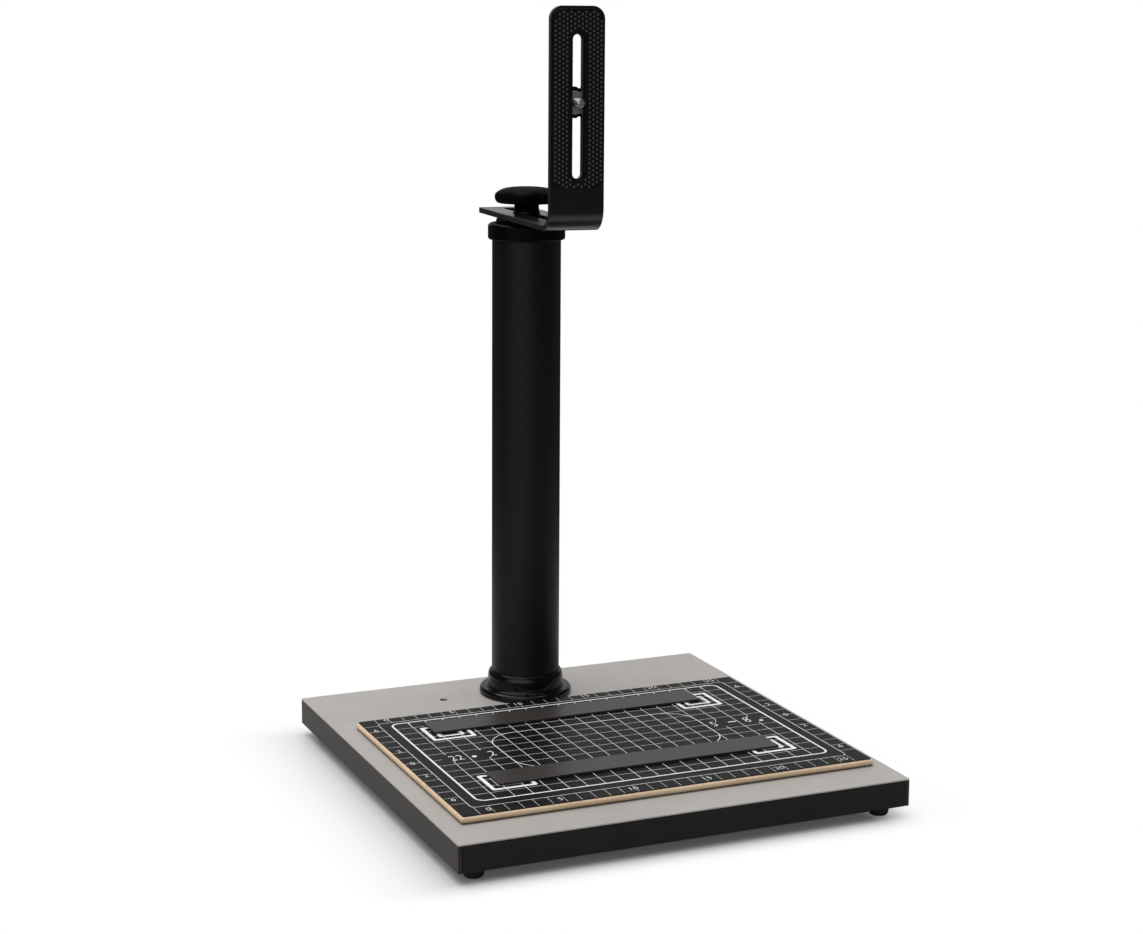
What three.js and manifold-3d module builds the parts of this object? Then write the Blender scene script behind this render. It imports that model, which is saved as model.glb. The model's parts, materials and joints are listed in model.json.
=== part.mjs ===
// Copy stand: a laminated base board on rubber feet, a round column near its back edge, and a
// bent arm that slides and swivels under a lobed clamp knob and holds a camera over a loose copy
// board with two magnetic strips.
// Millimetres, +Z up. The origin is on the floor under the middle of the whole outline, +X to the
// right and +Y to the back, where the column stands.

import * as THREE from 'three';
import { mergeVertices } from 'three/addons/utils/BufferGeometryUtils.js';
import Module from 'manifold-3d';

const wasm = await Module();
wasm.setup();

// Driving dimensions. Places on the base are given from its middle.

// How far the middle of the base lies in front of the origin, because the bar's tail stands out
// twice as far behind the base
const TAIL_OVERHANG = 14;

// Space left between flat pieces that rest on each other, and between pieces in the turned arm
const SEAT = 0.1;
const TURNED_SEAT = 0.3;

// How far a cutter runs past the face that it cuts
const PAST = 1;

const BASE = {
  width: 325,
  depth: 332,
  thickness: 19,
  skin: 0.9,
  edgeStrip: 3,
  corner: 1,
  coreCorner: 0.5,
  endStripCorner: 0.4,
};
const BASE_HOLE = { x: -65, y: 122.5, radius: 3, depth: 14 };

const FOOT = { height: 8, topRadius: 8, bottomRadius: 6, topEdge: 0.4, toe: 0.8, x: 147, y: 152 };
const FOOT_SCREW = {
  headRadius: 3.1,
  headHeight: 2.2,
  shankRadius: 1.75,
  length: 16,
  point: 4,
  sink: 1.2,
  holeClearance: 0.3,
  pilotClearance: 0.25,
  pilotDepth: 13,
};

const COLUMN = { x: 0, y: 120, radius: 25.4, wall: 2, height: 351.9 };
const FLANGE = {
  radius: 34.7,
  rim: 5.4,
  rimRound: 2.6,
  footEdge: 0.6,
  fillet: 2,
  collarRadius: 28.4,
  shoulderWidth: 2.4,
  shoulderHeight: 6,
  height: 18,
  clearance: 0.3,
};
const PLUG = { height: 25, boltHole: 5.2, edge: 1, clearance: 0.3 };
const BOLT = {
  radius: 4.9,
  length: 38,
  acrossFlats: 16,
  head: 6.3,
  washerRadius: 12,
  washer: 1.6,
  holeClearance: 0.7,
  washerClearance: 0.5,
  recessClearance: 1,
};

const CAP = {
  radius: 28.5,
  skirt: 8,
  thickness: 12,
  lowerRound: 1.8,
  upperRound: 2.5,
  spigotWall: 3.7,
  spigot: 12,
  spigotEdge: 1,
  clearance: 0.3,
  bossRadius: 11,
  bossDrop: 9,
  ribs: 6,
  ribWidth: 2,
};
const INSERT = { wall: 2.3, lip: 1.8, lipHeight: 1.6, pocketRoof: 1, clearance: 0.3 };
const STUD = { radius: 4, length: 51.5, clearance: 0.5, grip: 0.3, boreDepth: 12 };

const GUIDE = { radius: 22.5, thickness: 2.9, lugLength: 19, lugWidth: 8.1, lugHeight: 3.2 };

const ARM = {
  yaw: THREE.MathUtils.degToRad(-5.03),
  width: 40,
  thickness: 4.2,
  back: 58.6,
  reach: 115,
  rise: 154,
  bend: 16.2,
  topCorner: 8,
  backCorner: 1.5,
};
const CLAMP_SLOT = { width: 8.5, back: 48, front: 84 };
const CAMERA_SLOT = { width: 7, bottom: 36.9, top: 134.9 };
const PAD = { inset: 1.8, thickness: 2, bottom: 30, corner: 6.4, slotWidth: 9.5 };

const KNOB = {
  radius: 24.5,
  underRadius: 18.2,
  head: 12,
  rim: 5.9,
  stemRadius: 9.1,
  stemEdge: 0.5,
  stem: 5.8,
  lobes: 6,
  dip: 3.4,
};
const CLAMP_WASHER = { radius: 10, thickness: 1.2 };

const CAMERA_SCREW = { rise: 88.5, radius: 3.1, point: 0.8, standOut: 5.5, grip: 0.3, boreFloor: 3 };
const CAMERA_KNOB = {
  radius: 11,
  head: 9.5,
  backRound: 2.5,
  edge: 0.8,
  hubRadius: 6.5,
  hub: 2.5,
  flutes: 18,
  dip: 0.6,
};
const CAMERA_WASHER = { radius: 8, thickness: 1.2 };

const BOARD = { x: 2.9, y: -27, width: 302, depth: 214, thickness: 4.5, edge: 1.3, corner: 0.5 };
const SHEET = { inset: 1.5, thickness: 0.5, corner: 1 };
const STRIP = { length: 209, width: 25, thickness: 1.6, corner: 0.6 };
const STRIP_BACK = { x: -1, y: 43.4 };
const STRIP_FRONT = { x: 0.5, y: -75.2 };

// Heights that follow from them
const BASE_TOP = FOOT.height + BASE.thickness;
const CAP_BOTTOM = BASE_TOP + COLUMN.height + SEAT * 2 - CAP.skirt;
const CAP_TOP = CAP_BOTTOM + CAP.thickness;
const GUIDE_BOTTOM = CAP_TOP + SEAT;
const BAR_BOTTOM = GUIDE_BOTTOM + GUIDE.thickness + SEAT;
const WASHER_BOTTOM = BAR_BOTTOM + ARM.thickness + SEAT;
const KNOB_BOTTOM = WASHER_BOTTOM + CLAMP_WASHER.thickness + SEAT;
const BOARD_BOTTOM = BASE_TOP + SEAT;
const SHEET_BOTTOM = BOARD_BOTTOM + BOARD.thickness + SEAT;
const STRIP_BOTTOM = SHEET_BOTTOM + SHEET.thickness + SEAT;

// Number of sides on large, middling, small and very small round pieces
const ROUND = 40;
const MIDDLING = 36;
const SMALL = 20;
const SCREW_SIDES = 16;
const PILOT_SIDES = 8;

// Number of steps in a round corner and in a slot's round end
const CORNER_STEPS = 3;
const SLOT_STEPS = 8;

const FINISHES = {
  laminate: { color: 0xb0aba6, roughness: 0.5, metalness: 0 },
  chipboard: { color: 0xb08d62, roughness: 0.9, metalness: 0 },
  backer: { color: 0x6d6a66, roughness: 0.7, metalness: 0 },
  edging: { color: 0x232323, roughness: 0.55, metalness: 0 },
  rubber: { color: 0x151515, roughness: 0.8, metalness: 0 },
  zinc: { color: 0xb9bbbd, roughness: 0.35, metalness: 1 },
  blackPaint: { color: 0x141414, roughness: 0.42, metalness: 0 },
  blackGloss: { color: 0x0d0d0e, roughness: 0.22, metalness: 0 },
  blackPlastic: { color: 0x161617, roughness: 0.38, metalness: 0 },
  aluminium: { color: 0xc4c6c8, roughness: 0.4, metalness: 1 },
  brass: { color: 0xb8964f, roughness: 0.35, metalness: 1 },
  fibreboard: { color: 0xbfa382, roughness: 0.8, metalness: 0 },
  printedSheet: { color: 0x242525, roughness: 0.45, metalness: 0 },
  strip: { color: 0x484441, roughness: 0.5, metalness: 0 },
};

// Conversion between three.js geometry and closed solids

function solid(geometry) {
  const bare = new THREE.BufferGeometry();
  bare.setAttribute('position', geometry.getAttribute('position').clone());
  if (geometry.index) {
    bare.setIndex(geometry.index.clone());
  }
  const merged = mergeVertices(bare);
  const corners = merged.index.array;
  const triangles = [];
  for (let i = 0; i < corners.length; i += 3) {
    const [a, b, c] = corners.slice(i, i + 3);
    if (a !== b && b !== c && c !== a) {
      triangles.push(a, b, c);
    }
  }
  return new wasm.Manifold(new wasm.Mesh({
    numProp: 3,
    vertProperties: new Float32Array(merged.getAttribute('position').array),
    triVerts: new Uint32Array(triangles),
  }));
}

function toGeometry(body) {
  const { vertProperties, triVerts } = body.getMesh();
  const geometry = new THREE.BufferGeometry();
  geometry.setAttribute('position', new THREE.BufferAttribute(new Float32Array(vertProperties), 3));
  geometry.setIndex(new THREE.BufferAttribute(new Uint32Array(triVerts), 1));
  geometry.computeVertexNormals();
  return geometry;
}

// Outlines and the shapes drawn from them

function roundedRect(width, depth, radius) {
  const shape = new THREE.Shape();
  const x = width / 2 - radius;
  const y = depth / 2 - radius;
  const quarter = Math.PI / 2;
  shape.absarc(x, y, radius, 0, quarter);
  shape.absarc(-x, y, radius, quarter, quarter * 2);
  shape.absarc(-x, -y, radius, quarter * 2, quarter * 3);
  shape.absarc(x, -y, radius, quarter * 3, quarter * 4);
  shape.closePath();
  return shape;
}

// A slot outline along Y with round ends, from one end to the other
function slotOutline(width, low, high) {
  const shape = new THREE.Shape();
  const radius = width / 2;
  shape.absarc(0, high - radius, radius, 0, Math.PI);
  shape.absarc(0, low + radius, radius, Math.PI, Math.PI * 2);
  shape.closePath();
  return shape;
}

function circle(radius) {
  return new THREE.Shape().absarc(0, 0, radius, 0, Math.PI * 2);
}

function prism(shape, from, to, curveSegments = 6) {
  const geometry = new THREE.ExtrudeGeometry(shape, {
    depth: to - from,
    bevelEnabled: false,
    curveSegments,
  });
  return geometry.translate(0, 0, from);
}

function drill(x, y, radius, from, to, sides = SMALL) {
  return solid(prism(circle(radius), from, to, sides / 2).translate(x, y, 0));
}

// Points of an arc in a profile, from one angle to another in degrees
function arc(centreRadius, centreHeight, radius, start, end, steps = 4) {
  return Array.from({ length: steps + 1 }, (_, i) => {
    const angle = THREE.MathUtils.degToRad(start + (end - start) * (i / steps));
    return [centreRadius + radius * Math.cos(angle), centreHeight + radius * Math.sin(angle)];
  });
}

// Turns a profile of [radius, height] points about Z. The points run outwards along the
// bottom, up the outside and back in, and a profile with a bore closes on itself.
function revolve(profile, sides = ROUND) {
  const points = profile.map(([radius, height]) => new THREE.Vector2(radius, height));
  if (profile[0][0] > 0) {
    points.push(points[0].clone());
  }
  return new THREE.LatheGeometry(points, sides).rotateX(Math.PI / 2);
}

function ring(inner, outer, from, to, sides = ROUND) {
  const edge = Math.min(0.3, (to - from) / 4);
  return solid(revolve([
    [inner, from],
    [outer - edge, from],
    [outer, from + edge],
    [outer, to - edge],
    [outer - edge, to],
    [inner, to],
  ], sides));
}

// The arm's own axes: forward along its bar is -Y. One matrix stands up a drawing seen from the
// arm's side, the other a drawing seen from its front, whose depth then runs forward.
const SIDE_VIEW = new THREE.Matrix4().makeBasis(
  new THREE.Vector3(0, -1, 0),
  new THREE.Vector3(0, 0, 1),
  new THREE.Vector3(-1, 0, 0),
);
const FRONT_VIEW = new THREE.Matrix4().makeBasis(
  new THREE.Vector3(1, 0, 0),
  new THREE.Vector3(0, 0, 1),
  new THREE.Vector3(0, -1, 0),
);

// Scene graph

const stand = new THREE.Group();

// Everything, measured from the middle of the base
const onBase = new THREE.Group();
onBase.position.y = -TAIL_OVERHANG / 2;
stand.add(onBase);

// Everything that turns with the arm, about the column's axis
const arm = new THREE.Group();
arm.position.set(COLUMN.x, COLUMN.y, 0);
arm.rotation.z = ARM.yaw;
onBase.add(arm);

function place(name, body, finish, position = [0, 0, 0], parent = onBase) {
  const mesh = new THREE.Mesh(toGeometry(body), new THREE.MeshStandardMaterial(FINISHES[finish]));
  mesh.name = name;
  mesh.position.set(...position);
  parent.add(mesh);
  return mesh;
}

const onColumn = (height) => [COLUMN.x, COLUMN.y, height];
const footCorners = [
  ['front_left', -1, -1],
  ['front_right', 1, -1],
  ['back_left', -1, 1],
  ['back_right', 1, 1],
];

// Base: chipboard core between two laminates, edged on four sides

function addBase() {
  const { width, depth, thickness, skin, edgeStrip, corner } = BASE;
  const bottom = FOOT.height;
  const washerRoom = BOLT.washerRadius + BOLT.recessClearance;
  const boltRoom = BOLT.radius + BOLT.holeClearance;
  const headRoom = BOLT.head + BOLT.washer + BOLT.recessClearance;
  const pilot = FOOT_SCREW.shankRadius + FOOT_SCREW.pilotClearance;
  const coreBottom = skin + SEAT;
  const coreTop = thickness - skin - SEAT;
  const footScrewHoles = footCorners.map(([, sideX, sideY]) => [sideX * FOOT.x, sideY * FOOT.y]);

  let top = solid(prism(roundedRect(width, depth, corner), 0, skin, 2));
  const { x: holeX, y: holeY, radius: holeRadius, depth: holeDepth } = BASE_HOLE;
  top = top.subtract(drill(holeX, holeY, holeRadius, -PAST, skin + PAST));
  top = top.subtract(drill(COLUMN.x, COLUMN.y, boltRoom, -PAST, skin + PAST));
  place('top_laminate', top, 'laminate', [0, 0, bottom + thickness - skin]);

  const inside = edgeStrip + SEAT;
  const coreOutline = roundedRect(width - inside * 2, depth - inside * 2, BASE.coreCorner);
  let core = solid(prism(coreOutline, coreBottom, coreTop, 1));
  core = core.subtract(drill(holeX, holeY, holeRadius, thickness - holeDepth, thickness));
  core = core.subtract(drill(COLUMN.x, COLUMN.y, boltRoom, 0, thickness));
  core = core.subtract(drill(COLUMN.x, COLUMN.y, washerRoom, 0, coreBottom + headRoom, ROUND / 2));
  for (const [x, y] of footScrewHoles) {
    core = core.subtract(drill(x, y, pilot, 0, FOOT_SCREW.pilotDepth, PILOT_SIDES));
  }
  place('base_core', core, 'chipboard', [0, 0, bottom]);

  let backer = solid(prism(coreOutline, 0, skin, 1));
  backer = backer.subtract(drill(COLUMN.x, COLUMN.y, washerRoom, -PAST, skin + PAST, ROUND / 2));
  for (const [x, y] of footScrewHoles) {
    backer = backer.subtract(drill(x, y, pilot, -PAST, skin + PAST, PILOT_SIDES));
  }
  place('bottom_laminate', backer, 'backer', [0, 0, bottom]);

  const stripHeight = thickness - skin - SEAT;
  const sideStrip = solid(prism(roundedRect(edgeStrip, depth, corner), 0, stripHeight, CORNER_STEPS));
  const endLength = width - inside * 2;
  const endStrip = solid(prism(roundedRect(endLength, edgeStrip, BASE.endStripCorner), 0, stripHeight, 2));
  const sideX = (width - edgeStrip) / 2;
  const endY = (depth - edgeStrip) / 2;
  place('edge_strip_left', sideStrip, 'edging', [-sideX, 0, bottom]);
  place('edge_strip_right', sideStrip, 'edging', [sideX, 0, bottom]);
  place('edge_strip_front', endStrip, 'edging', [0, -endY, bottom]);
  place('edge_strip_back', endStrip, 'edging', [0, endY, bottom]);
}

// Feet: tapered rubber with a screw sunk in from below

function addFeet() {
  const { height, topRadius, bottomRadius, topEdge, toe } = FOOT;
  const { headRadius, headHeight, shankRadius, length, point, sink, holeClearance } = FOOT_SCREW;
  const seat = sink + headHeight + SEAT;
  const hole = shankRadius + holeClearance;
  const recess = headRadius + holeClearance;
  const top = height - SEAT;
  const foot = solid(revolve([
    [recess, 0],
    ...arc(bottomRadius - toe, toe, toe, -90, -15, 2),
    [topRadius, top - topEdge],
    [topRadius - topEdge, top],
    [hole, top],
    [hole, seat],
    [recess, seat],
  ], SMALL));
  const screw = solid(revolve([
    [0, 0],
    [headRadius * 0.7, 0],
    [headRadius, headHeight / 2],
    [headRadius, headHeight],
    [shankRadius, headHeight],
    [shankRadius, length - point],
    [0, length],
  ], SCREW_SIDES));
  for (const [corner, sideX, sideY] of footCorners) {
    place(`foot_${corner}`, foot, 'rubber', [sideX * FOOT.x, sideY * FOOT.y, 0]);
    place(`foot_screw_${corner}`, screw, 'zinc', [sideX * FOOT.x, sideY * FOOT.y, sink]);
  }
}

// Column: a tube bolted down through a plug in its foot, with a collar round it at the base

function addColumn() {
  const bottom = BASE_TOP + SEAT;
  const inner = COLUMN.radius - COLUMN.wall;
  place('column_tube', ring(inner, COLUMN.radius, 0, COLUMN.height), 'blackPaint', onColumn(bottom));

  const plugRadius = inner - PLUG.clearance;
  const plug = solid(revolve([
    [PLUG.boltHole, 0],
    [plugRadius - PLUG.edge, 0],
    [plugRadius, PLUG.edge],
    [plugRadius, PLUG.height - PLUG.edge],
    [plugRadius - PLUG.edge, PLUG.height],
    [PLUG.boltHole, PLUG.height],
  ]));
  place('foot_plug', plug, 'aluminium', onColumn(bottom));

  const { radius, rim, rimRound, footEdge, fillet, collarRadius, height } = FLANGE;
  const { shoulderWidth, shoulderHeight } = FLANGE;
  const bore = COLUMN.radius + FLANGE.clearance;

  // The shoulder is a quarter ellipse, taller than it is wide
  const shoulder = arc(0, 0, 1, 0, 84, 4).map(([out, up]) => [
    collarRadius - shoulderWidth + shoulderWidth * out,
    height - shoulderHeight + shoulderHeight * up,
  ]);
  const flange = solid(revolve([
    [bore, 0],
    [radius - footEdge, 0],
    [radius, footEdge],
    ...arc(radius - rimRound, rim - rimRound, rimRound, 0, 80, 3),
    ...arc(collarRadius + fillet, rim + fillet, fillet, 270, 180, 2),
    ...shoulder,
    [bore, height],
  ]));
  place('column_flange', flange, 'blackGloss', onColumn(bottom));
}

// The bolt and washer that hold the column, in a counterbore under the base
function addColumnBolt() {
  const seat = FOOT.height + BASE.skin + SEAT + BOLT.head + BOLT.washer + BOLT.recessClearance;
  const washerBottom = seat - SEAT - BOLT.washer;
  const washerHole = BOLT.radius + BOLT.washerClearance;
  const washer = ring(washerHole, BOLT.washerRadius, 0, BOLT.washer, ROUND / 2);
  place('bolt_washer', washer, 'zinc', onColumn(washerBottom));

  const headCorner = BOLT.acrossFlats / Math.sqrt(3);
  const head = solid(revolve([
    [0, 0],
    [headCorner, 0],
    [headCorner, BOLT.head],
    [0, BOLT.head],
  ], 6));
  const point = 1;
  const shank = solid(revolve([
    [0, BOLT.head / 2],
    [BOLT.radius, BOLT.head / 2],
    [BOLT.radius, BOLT.length - point],
    [BOLT.radius - point, BOLT.length],
    [0, BOLT.length],
  ], SMALL));
  place('column_bolt', head.add(shank), 'zinc', onColumn(washerBottom - SEAT - BOLT.head));
}

// Cap: a moulded lid with a skirt outside the tube, a spigot and a ribbed boss inside it

function addCap() {
  const { radius, skirt, thickness, lowerRound, upperRound, spigotWall, spigot, spigotEdge } = CAP;
  const { bossRadius, bossDrop, ribs, ribWidth } = CAP;
  const skirtBore = COLUMN.radius + CAP.clearance;
  const spigotRadius = COLUMN.radius - COLUMN.wall - CAP.clearance;
  const spigotBore = spigotRadius - spigotWall;
  const insertRadius = STUD.radius + INSERT.wall;
  const studHole = STUD.radius + STUD.clearance;
  const bossBottom = -bossDrop;
  const pocketTop = skirt - INSERT.pocketRoof;
  let cap = solid(revolve([
    [skirtBore, 0],
    ...arc(radius - lowerRound, lowerRound, lowerRound, -90, 0, 2),
    ...arc(radius - upperRound, thickness - upperRound, upperRound, 0, 90, 3),
    [studHole, thickness],
    [studHole, pocketTop],
    [insertRadius, pocketTop],
    [insertRadius, bossBottom],
    [bossRadius, bossBottom],
    [bossRadius, skirt],
    [spigotBore, skirt],
    [spigotBore, -spigot],
    [spigotRadius - spigotEdge, -spigot],
    [spigotRadius, spigotEdge - spigot],
    [spigotRadius, skirt],
    [skirtBore, skirt],
  ]));
  // Each rib runs a little way into the boss, the spigot and the roof
  const bite = 0.5;
  const ribLength = spigotBore - bossRadius + bite * 2;
  for (let i = 0; i < ribs; i += 1) {
    const rib = new THREE.BoxGeometry(ribLength, ribWidth, skirt - bossBottom)
      .translate((bossRadius + spigotBore) / 2, 0, (skirt + bossBottom) / 2 + bite)
      .rotateZ((Math.PI * 2 * i) / ribs);
    cap = cap.add(solid(rib));
  }
  place('column_cap', cap, 'blackPlastic', onColumn(CAP_BOTTOM));

  const insertBore = STUD.radius + STUD.grip;
  const lipRadius = insertRadius + INSERT.lip;
  const sleeveRadius = insertRadius - INSERT.clearance;
  const sleeveTop = pocketTop - INSERT.clearance;
  const insert = solid(revolve([
    [insertBore, bossBottom - INSERT.lipHeight],
    [lipRadius, bossBottom - INSERT.lipHeight],
    [lipRadius, bossBottom - SEAT],
    [sleeveRadius, bossBottom - SEAT],
    [sleeveRadius, sleeveTop],
    [insertBore, sleeveTop],
  ], SMALL));
  place('stud_insert', insert, 'brass', onColumn(CAP_BOTTOM));
}

// Arm: a guide disc with two lugs that run in the bar's slot, and the bent bar itself

function addGuide() {
  const { radius, thickness, lugLength, lugWidth, lugHeight } = GUIDE;
  const studHole = STUD.radius + STUD.clearance;
  const keyTop = thickness + lugHeight;
  const disc = ring(studHole, radius, 0, thickness);
  const keyOutline = slotOutline(lugWidth, -lugLength / 2, lugLength / 2);
  const key = solid(prism(keyOutline, thickness / 2, keyTop, SLOT_STEPS));
  const hole = drill(0, 0, studHole, -PAST, keyTop + PAST, ROUND);
  place('guide_disc', disc.add(key.subtract(hole)), 'blackPlastic', [0, 0, GUIDE_BOTTOM], arm);
}

function addBar() {
  const { width, thickness, back, reach, rise, bend, topCorner, backCorner } = ARM;
  const side = new THREE.Shape();
  side.moveTo(-back, 0);
  side.absarc(reach - bend, bend, bend, -Math.PI / 2, 0);
  side.lineTo(reach, rise);
  side.lineTo(reach - thickness, rise);
  side.absarc(reach - bend, bend, bend - thickness, 0, -Math.PI / 2, true);
  side.lineTo(-back, thickness);
  side.closePath();
  const bent = solid(prism(side, -width / 2, width / 2, SLOT_STEPS).applyMatrix4(SIDE_VIEW));

  const front = new THREE.Shape();
  front.moveTo(-width / 2, -PAST);
  front.lineTo(width / 2, -PAST);
  front.absarc(width / 2 - topCorner, rise - topCorner, topCorner, 0, Math.PI / 2);
  front.absarc(topCorner - width / 2, rise - topCorner, topCorner, Math.PI / 2, Math.PI);
  front.closePath();
  const frontTrim = solid(prism(front, -back - PAST, reach + PAST, SLOT_STEPS).applyMatrix4(FRONT_VIEW));

  const plan = new THREE.Shape();
  plan.moveTo(-width / 2 - PAST, -reach - PAST);
  plan.lineTo(width / 2 + PAST, -reach - PAST);
  plan.lineTo(width / 2 + PAST, 0);
  plan.lineTo(width / 2, 0);
  plan.absarc(width / 2 - backCorner, back - backCorner, backCorner, 0, Math.PI / 2);
  plan.absarc(backCorner - width / 2, back - backCorner, backCorner, Math.PI / 2, Math.PI);
  plan.lineTo(-width / 2, 0);
  plan.lineTo(-width / 2 - PAST, 0);
  plan.closePath();
  const planTrim = solid(prism(plan, -PAST, rise + PAST, CORNER_STEPS));

  const clampSlot = solid(prism(
    slotOutline(CLAMP_SLOT.width, -CLAMP_SLOT.front, CLAMP_SLOT.back),
    -PAST,
    thickness + PAST,
    SLOT_STEPS,
  ));
  const cameraSlot = solid(prism(
    slotOutline(CAMERA_SLOT.width, CAMERA_SLOT.bottom, CAMERA_SLOT.top),
    reach - thickness - PAST,
    reach + PAST,
    SLOT_STEPS,
  ).applyMatrix4(FRONT_VIEW));
  const bar = bent
    .intersect(frontTrim)
    .intersect(planTrim)
    .subtract(clampSlot)
    .subtract(cameraSlot);
  place('l_bracket', bar, 'blackPaint', [0, 0, BAR_BOTTOM], arm);
}

// Pad: rubber on the front of the upright leg, with its own wider slot
function addPad() {
  const width = ARM.width - PAD.inset * 2;
  const top = ARM.rise - PAD.inset;
  const height = top - PAD.bottom;
  const outline = roundedRect(width, height, PAD.corner);
  const from = ARM.reach + TURNED_SEAT;
  const to = from + PAD.thickness;
  const sheet = prism(outline, from, to, SLOT_STEPS).translate(0, PAD.bottom + height / 2, 0);
  const margin = (PAD.slotWidth - CAMERA_SLOT.width) / 2;
  const slot = prism(
    slotOutline(PAD.slotWidth, CAMERA_SLOT.bottom - margin, CAMERA_SLOT.top + margin),
    from - PAST,
    to + PAST,
    SLOT_STEPS,
  );
  const pad = solid(sheet.applyMatrix4(FRONT_VIEW)).subtract(solid(slot.applyMatrix4(FRONT_VIEW)));
  place('rubber_pad', pad, 'rubber', [0, 0, BAR_BOTTOM], arm);
}

// Clamp: a lobed knob with its stud, over a washer

// Presses hollows into the side of a turned solid. They are deepest at the widest part and fade
// out to nothing towards the axis.
function pressHollows(geometry, count, dip, radius) {
  const position = geometry.getAttribute('position');
  for (let i = 0; i < position.count; i += 1) {
    const x = position.getX(i);
    const y = position.getY(i);
    const reach = Math.hypot(x, y) / radius;
    const wave = 0.5 - 0.5 * Math.cos(count * Math.atan2(y, x));
    const scale = 1 - (dip / radius) * wave ** 1.4 * reach ** 5;
    position.setXY(i, x * scale, y * scale);
  }
  return geometry;
}

function addClamp() {
  const washerHole = STUD.radius + STUD.clearance;
  const washer = ring(washerHole, CLAMP_WASHER.radius, 0, CLAMP_WASHER.thickness, ROUND / 2);
  place('clamp_washer', washer, 'zinc', onColumn(WASHER_BOTTOM));

  const { radius, underRadius, head, rim, stemRadius, stemEdge, stem, lobes, dip } = KNOB;
  const quarter = Math.PI / 2;
  const undersideSteps = 4;
  const domeSteps = 9;
  const domeFullness = 0.82;
  const sidesPerLobe = 10;

  // The underside is a quarter ellipse out to the widest part. The dome is a slightly fuller curve
  // than an ellipse.
  const underside = Array.from({ length: undersideSteps + 1 }, (_, i) => {
    const angle = quarter * (i / undersideSteps);
    return [underRadius + (radius - underRadius) * Math.sin(angle), rim - rim * Math.cos(angle)];
  });
  const dome = Array.from({ length: domeSteps - 1 }, (_, i) => {
    const angle = quarter * ((i + 1) / domeSteps);
    return [radius * Math.cos(angle) ** domeFullness, rim + (head - rim) * Math.sin(angle)];
  });
  const profile = [[0, 0], ...underside, ...dome, [0, head]];
  const headShape = pressHollows(revolve(profile, lobes * sidesPerLobe), lobes, dip, radius);
  const headSolid = solid(headShape.translate(0, 0, stem));
  const stemTop = stem + PAST;
  const stemSolid = solid(revolve([
    [0, 0],
    [stemRadius - stemEdge, 0],
    [stemRadius, stemEdge],
    [stemRadius, stemTop],
    [0, stemTop],
  ], MIDDLING));
  const bore = drill(0, 0, STUD.radius + STUD.grip, -PAST, STUD.boreDepth);
  place('clamp_knob', headSolid.add(stemSolid).subtract(bore), 'blackPlastic', onColumn(KNOB_BOTTOM));

  const point = 1;
  const stud = solid(revolve([
    [0, 0],
    [STUD.radius - point, 0],
    [STUD.radius, point],
    [STUD.radius, STUD.length - point],
    [STUD.radius - point, STUD.length],
    [0, STUD.length],
  ], SMALL));
  const studBottom = KNOB_BOTTOM + STUD.boreDepth - TURNED_SEAT - STUD.length;
  place('clamp_stud', stud, 'zinc', onColumn(studBottom));
}

// Camera screw: a fluted knob behind the leg, with its stud through the slot and the pad

function addCameraScrew() {
  const faceForward = (mesh) => {
    mesh.rotation.x = Math.PI / 2;
  };
  const height = BAR_BOTTOM + CAMERA_SCREW.rise;
  const legBack = ARM.reach - ARM.thickness;
  const washerBack = legBack - TURNED_SEAT - CAMERA_WASHER.thickness;
  const washerHole = CAMERA_SCREW.radius + CAMERA_SCREW.grip;
  const washer = ring(washerHole, CAMERA_WASHER.radius, 0, CAMERA_WASHER.thickness, SMALL);
  faceForward(place('camera_washer', washer, 'zinc', [0, -washerBack, height], arm));

  const { radius, head, backRound, edge, hubRadius, hub, flutes, dip } = CAMERA_KNOB;
  const sidesPerFlute = 4;
  const length = head + hub;
  const knobBack = washerBack - TURNED_SEAT - length;
  const headShape = pressHollows(revolve([
    [0, 0],
    ...arc(radius - backRound, backRound, backRound, -90, 0, 3),
    [radius, head - edge],
    [radius - edge, head],
    [0, head],
  ], flutes * sidesPerFlute), flutes, dip, radius);
  const hubShape = revolve([
    [0, head / 2],
    [hubRadius, head / 2],
    [hubRadius, length],
    [0, length],
  ], SMALL);
  const { grip, boreFloor, point, standOut } = CAMERA_SCREW;
  const bore = drill(0, 0, CAMERA_SCREW.radius + grip, boreFloor, length + PAST);
  const knob = solid(headShape).add(solid(hubShape)).subtract(bore);
  faceForward(place('camera_knob', knob, 'blackPlastic', [0, -knobBack, height], arm));

  const studBack = knobBack + boreFloor + TURNED_SEAT;
  const padFront = ARM.reach + TURNED_SEAT + PAD.thickness;
  const studLength = padFront + standOut - studBack;
  const stud = solid(revolve([
    [0, 0],
    [CAMERA_SCREW.radius, 0],
    [CAMERA_SCREW.radius, studLength - point],
    [CAMERA_SCREW.radius - point, studLength],
    [0, studLength],
  ], SMALL));
  faceForward(place('camera_stud', stud, 'zinc', [0, -studBack, height], arm));
}

// Copy board: fibreboard with a printed steel sheet, and two magnetic strips on it

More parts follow.
